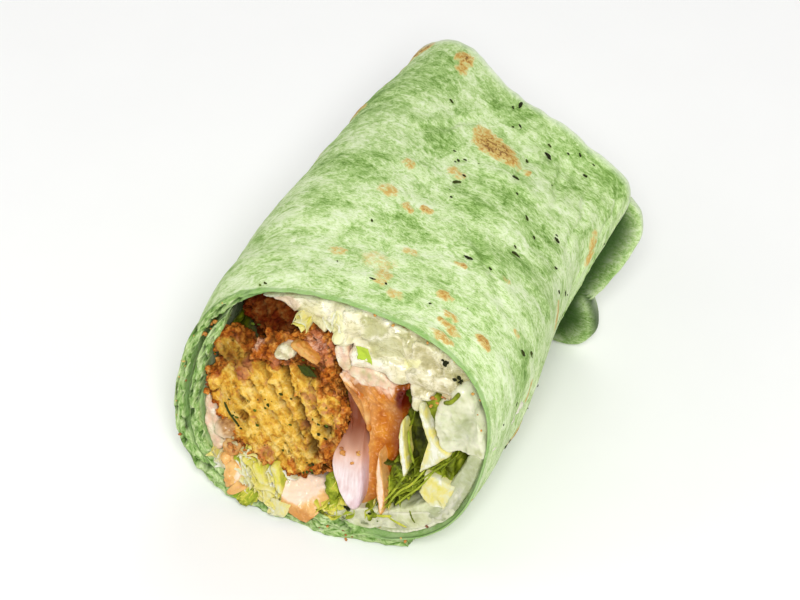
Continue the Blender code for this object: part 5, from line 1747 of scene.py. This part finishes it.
def lettuce_core(finish):
    """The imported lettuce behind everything, a little smaller than its solid."""
    columns = 160
    angle = np.linspace(0, 360, columns, endpoint=False)
    wall = lining_depth(angle) + 1.0
    hollow = bump(angle, 128, 42)
    rings = []
    for reach in np.linspace(0, 1, 34):
        face = roll(angle, 0, wall, reach)
        back = 6.0 + 17 * hollow * ease(reach, 0.35, 0.8) + 2.2 * rough(face, 5, 161)
        back = back + 3.5 * ease(reach, 0.9, 1.0)
        rings.append(face + stacked(0, back, 0))
    for along in np.linspace(0.3, FILLING_BACK - 0.01, 12):
        rings.append(roll(angle, along, wall))
    for reach in (0.6, 0):
        rings.append(roll(angle, FILLING_BACK - 0.01, wall, reach))
    solid = loft(np.array(rings))
    # kept dark: painted shade, since the core shows only in the gaps between the pieces; lighter towards the
    # right
    right = ease(solid.points[:, 0], -5, 15)
    solid.mark("shade", 0.1 + 0.1 * waves(solid.points, 5, 162) + 0.1 * right)
    solid.mark("edge", 0.0)
    solid.make("lettuce_core", finish, "lettuce", "lettuce")


def bunch(outline, count, deep, front, shades, lengths, heading, seed):
    """Thin shreds packed inside an outline on the cut face, each seen edge on."""
    random = np.random.default_rng(seed)
    low, high = np.min(outline, axis=0), np.max(outline, axis=0)
    leaves = []
    while len(leaves) < count:
        across, up = random.uniform(low, high)
        if inside_outline(np.array([[across, 0, up]]), outline)[0] < 0.2:
            continue
        swing = math.radians(heading + random.normal(0, 38))
        ahead = np.array((math.cos(swing), math.sin(swing))) * random.uniform(*lengths) / 2
        side = np.array((-ahead[1], ahead[0])) * random.normal(0, 0.4)
        spot = set_back((across, up), front)
        path = (spot - ahead, spot - 0.3 * ahead + side, spot + 0.4 * ahead + 0.6 * side, spot + ahead)
        leaves.append(standing_leaf(path, deep * random.uniform(0.6, 1), random.uniform(0.25, 0.5), 0.8,
                                    front + random.uniform(-0.4, 1.0), 7 * seed + len(leaves), 26, 7,
                                    shade=random.uniform(*shades)))
    return leaves


def lettuce(finish):
    """Leaves, ribs and shreds, each where it shows among the fillings."""
    leaves = [plate(outline, deep, front, relief, 200 + number, core, edge, 1.6)
              for number, (outline, deep, front, relief, core, edge) in enumerate(PLATES)]
    kept_inside(joined(leaves)).make("lettuce_leaves", finish, "lettuce", "lettuce")
    ribs = [plate(outline, 5, front, 0.22, 230 + number, core, edge, 0.9, CUT_BALL_PROFILE)
            for number, (outline, front, core, edge) in enumerate(RIBS)]
    kept_inside(joined(ribs)).make("lettuce_ribs", finish, "lettuce")
    shreds = []
    for number, (path, width, shade) in enumerate(SHREDS):
        spots = [at(*spot) for spot in path]
        shreds.append(shred(spots, width, width * 0.45, 20, 8, 26, number, shade=shade))
    kept_inside(joined(shreds)).make("lettuce_shreds", finish, "lettuce")
    bundles = [standing_leaf(path, deep, 0.5, 0.8, front, number, shade=shade)
               for number, (path, deep, front, shade) in enumerate(BUNDLES)]
    for number, details in enumerate(BUNCHES):
        bundles += bunch(*details, 300 + number)
    kept_inside(joined(bundles)).make("lettuce_standing", finish, "lettuce")


HERB_LEAVES = (
    # corners (across, up, inward), bulge, shade
    (((5.2, 50.2, -0.6), (8, 50.6, -0.9), (9.4, 47, -0.8), (5.8, 47.2, -0.7)), 0.5, 0.95),
    (((-8.8, 39.6, 0.4), (-6, 40.4, 0), (-3.6, 38.8, -0.2), (-6.6, 37.8, 0)), 0.5, 0.25),
    (((-22, 2.6, -1), (-17, 4, -1.2), (-15.6, 2.6, -1.4), (-20.4, 2.45, -2)), 0.6, 0.8),
)
CHIP_OUTLINE = (
    (-10.6, 44.4), (-8.9, 45.2), (-6.4, 43.9), (-3.8, 42.6), (-4.2, 41.4), (-6.6, 42), (-9.4, 43),
)


def toppings(herb, crumb, cream):
    """Everything small: herbs, crumbs, chips and drops."""
    scattered("herb_bits", herb, "lettuce",
              (((-2.9, 15.6, -0.6), 1.0, 9), ((-22.8, 22.0, -0.5), 1.2, 5),
               ((-6.0, 39.6, 1.2), 1.1, 6), ((-18.6, 56.0, 0.4), 0.7, 4), ((12.6, 9.4, -0.2), 1.0, 5),
               ((-14, 26, -0.3), 5.0, 16), ((-19, 43, 3.6), 4.0, 8), ((-1, 27, -0.3), 2.5, 10)),
              (0.3, 0.9), 21, 0.5, shade=(0.05, 0.5))
    path = [at(-25.2, 25.0, -0.8), at(-23.4, 23.0, -1.3), at(-21.2, 20.4, -0.9)]
    leaves = [shred(path, 0.7, 0.4, 0, 8, 24, 1, shade=0.22)]
    for number, (corners, bulge, shade) in enumerate(HERB_LEAVES):
        leaves.append(patch(corners, 0.5, 0.5, bulge, 20, 5 + number, shade=shade))
    joined(leaves).make("herb_leaves", herb, "lettuce")
    scattered("loose_crumbs", crumb, "falafel_crust",
              (((-31.4, 39.6, 0.8), 0.9, 8), ((-30.6, 41.6, 1.6), 0.7, 5), ((4.6, 24.0, -1.2), 0.3, 2),
               ((8.4, 24.4, -1.2), 0.4, 3), ((7.0, 21.4, -1.2), 0.3, 2), ((2.2, 17.6, -0.8), 0.4, 3),
               ((23.8, 43.0, -0.4), 0.8, 5), ((26.4, 45.2, -0.4), 0.5, 3), ((-22.4, 13.8, -0.6), 1.0, 8)),
              (0.45, 1.3), 22, 0.8, shade=(0.25, 0.75))
    chip = plate(CHIP_OUTLINE, 3, -0.9, 0.35, 31, 0.72, 0.6, 0.8, CUT_BALL_PROFILE, 70, 30)
    chip.make("falafel_chip", crumb, "falafel")
    scattered("dressing_drops", cream, "dressing",
              (((-11.6, 41.0, -0.6), 0.6, 3), ((-8.0, 43.8, 0.8), 0.9, 2), ((-22.4, 15.6, -0.6), 0.3, 2),
               ((27.4, 45.8, -0.6), 0.4, 2)),
              (0.6, 1.4), 23, 0.6, pink=(0.2, 0.6))
    scattered("black_specks", herb, "lettuce",
              (((25.4, 53.0, 0.2), 0.4, 4), ((28.9, 49.6, 0.2), 0.5, 5), ((7.4, 9.4, -0.8), 0.3, 2)),
              (0.6, 1.2), 24, 0.6, shade=(0.0, 0.08))


# the studio

# half the floor's side, and what the lamps and the camera point at from the foot of the cut face, in metres
FLOOR = 1.5
LIT_POINT = (0, 0.045, 0.022)
VIEWED_POINT = (-0.0026, 0.0452, 0.0315)
LAMPS = (
    # name, place from the lit point, size, power
    ("key", (0.42, -0.72, 0.85), 0.42, 12),
    ("fill", (-0.85, -0.35, 0.6), 0.9, 1.8),
    ("back", (-0.2, 0.9, 0.8), 0.8, 2.6),
)


def aim(holder, target, away):
    """Places a lamp or camera away from its target and turns it to it."""
    holder.location = target + away
    holder.rotation_euler = (-away).to_track_quat("-Z", "Y").to_euler()


def studio():
    """The floor, the three lamps and the plain light all round."""
    floor_mesh = bpy.data.meshes.new("floor")
    corners = [(x * FLOOR, y * FLOOR, 0) for x, y in ((-1, -1), (1, -1), (1, 1), (-1, 1))]
    floor_mesh.from_pydata(corners, [], [(0, 1, 2, 3)])
    finish = Finish("floor")
    speckle = finish.noise(finish.place(), 30, 2)
    color = finish.ramp(speckle, (0, (0.9, 0.9, 0.89)), (1, (0.93, 0.93, 0.92)))
    floor_mesh.materials.append(finish.done(color, 0.75))
    floor = linked("floor", floor_mesh)
    target = Vector((FOOT * MM).tolist()) + Vector(LIT_POINT)
    for name, place, size, power in LAMPS:
        lamp = bpy.data.lights.new(name, "AREA")
        lamp.shape = "DISK"
        lamp.size = size
        lamp.energy = power
        aim(linked(name, lamp), target, Vector(place))
    world = bpy.data.worlds.new("studio")
    world.use_nodes = True
    background = world.node_tree.nodes["Background"]
    background.inputs["Color"].default_value = (1, 1, 1, 1)
    background.inputs["Strength"].default_value = 0.38
    bpy.context.scene.world = world
    bpy.context.scene.view_settings.view_transform = "Standard"


def camera():
    """The view of the cut face from the right and above."""
    azimuth, elevation, distance = math.radians(27), math.radians(42), 0.75
    level = math.cos(elevation)
    towards = Vector((math.sin(azimuth) * level, -math.cos(azimuth) * level, math.sin(elevation)))
    target = Vector((FOOT * MM).tolist()) + Vector(VIEWED_POINT)
    lens = bpy.data.cameras.new("camera")
    lens.lens = 150
    holder = linked("camera", lens)
    aim(holder, target, towards * distance)
    bpy.context.scene.camera = holder


def build():
    """The whole wrap."""
    tortilla = tortilla_finish()
    falafel = falafel_finish()
    leaf = leaf_finish()
    cream = dressing_finish()
    tomato = tomato_finish()
    crumb = crumb_finish()
    herb = herb_finish()
    tortilla_roll(tortilla)
    end_folds(tortilla)
    sheet_specks(herb, crumb)
    falafel_front(falafel)
    # the rear falafel's finish is darkened: a darker crust and painted shade
    falafel_rear(falafel_finish("falafel_dark_and_shaded", 0.85))
    tomato_slice(tomato)
    onion_slice(onion_finish())
    tomato_chunks(tomato)
    chickpea(chickpea_finish())
    cucumber_slices(cucumber_finish())
    dressing(cream)
    pink_sauce(cream)
    lettuce_core(leaf)
    lettuce(leaf)
    toppings(herb, crumb, cream)


build()
studio()
camera()
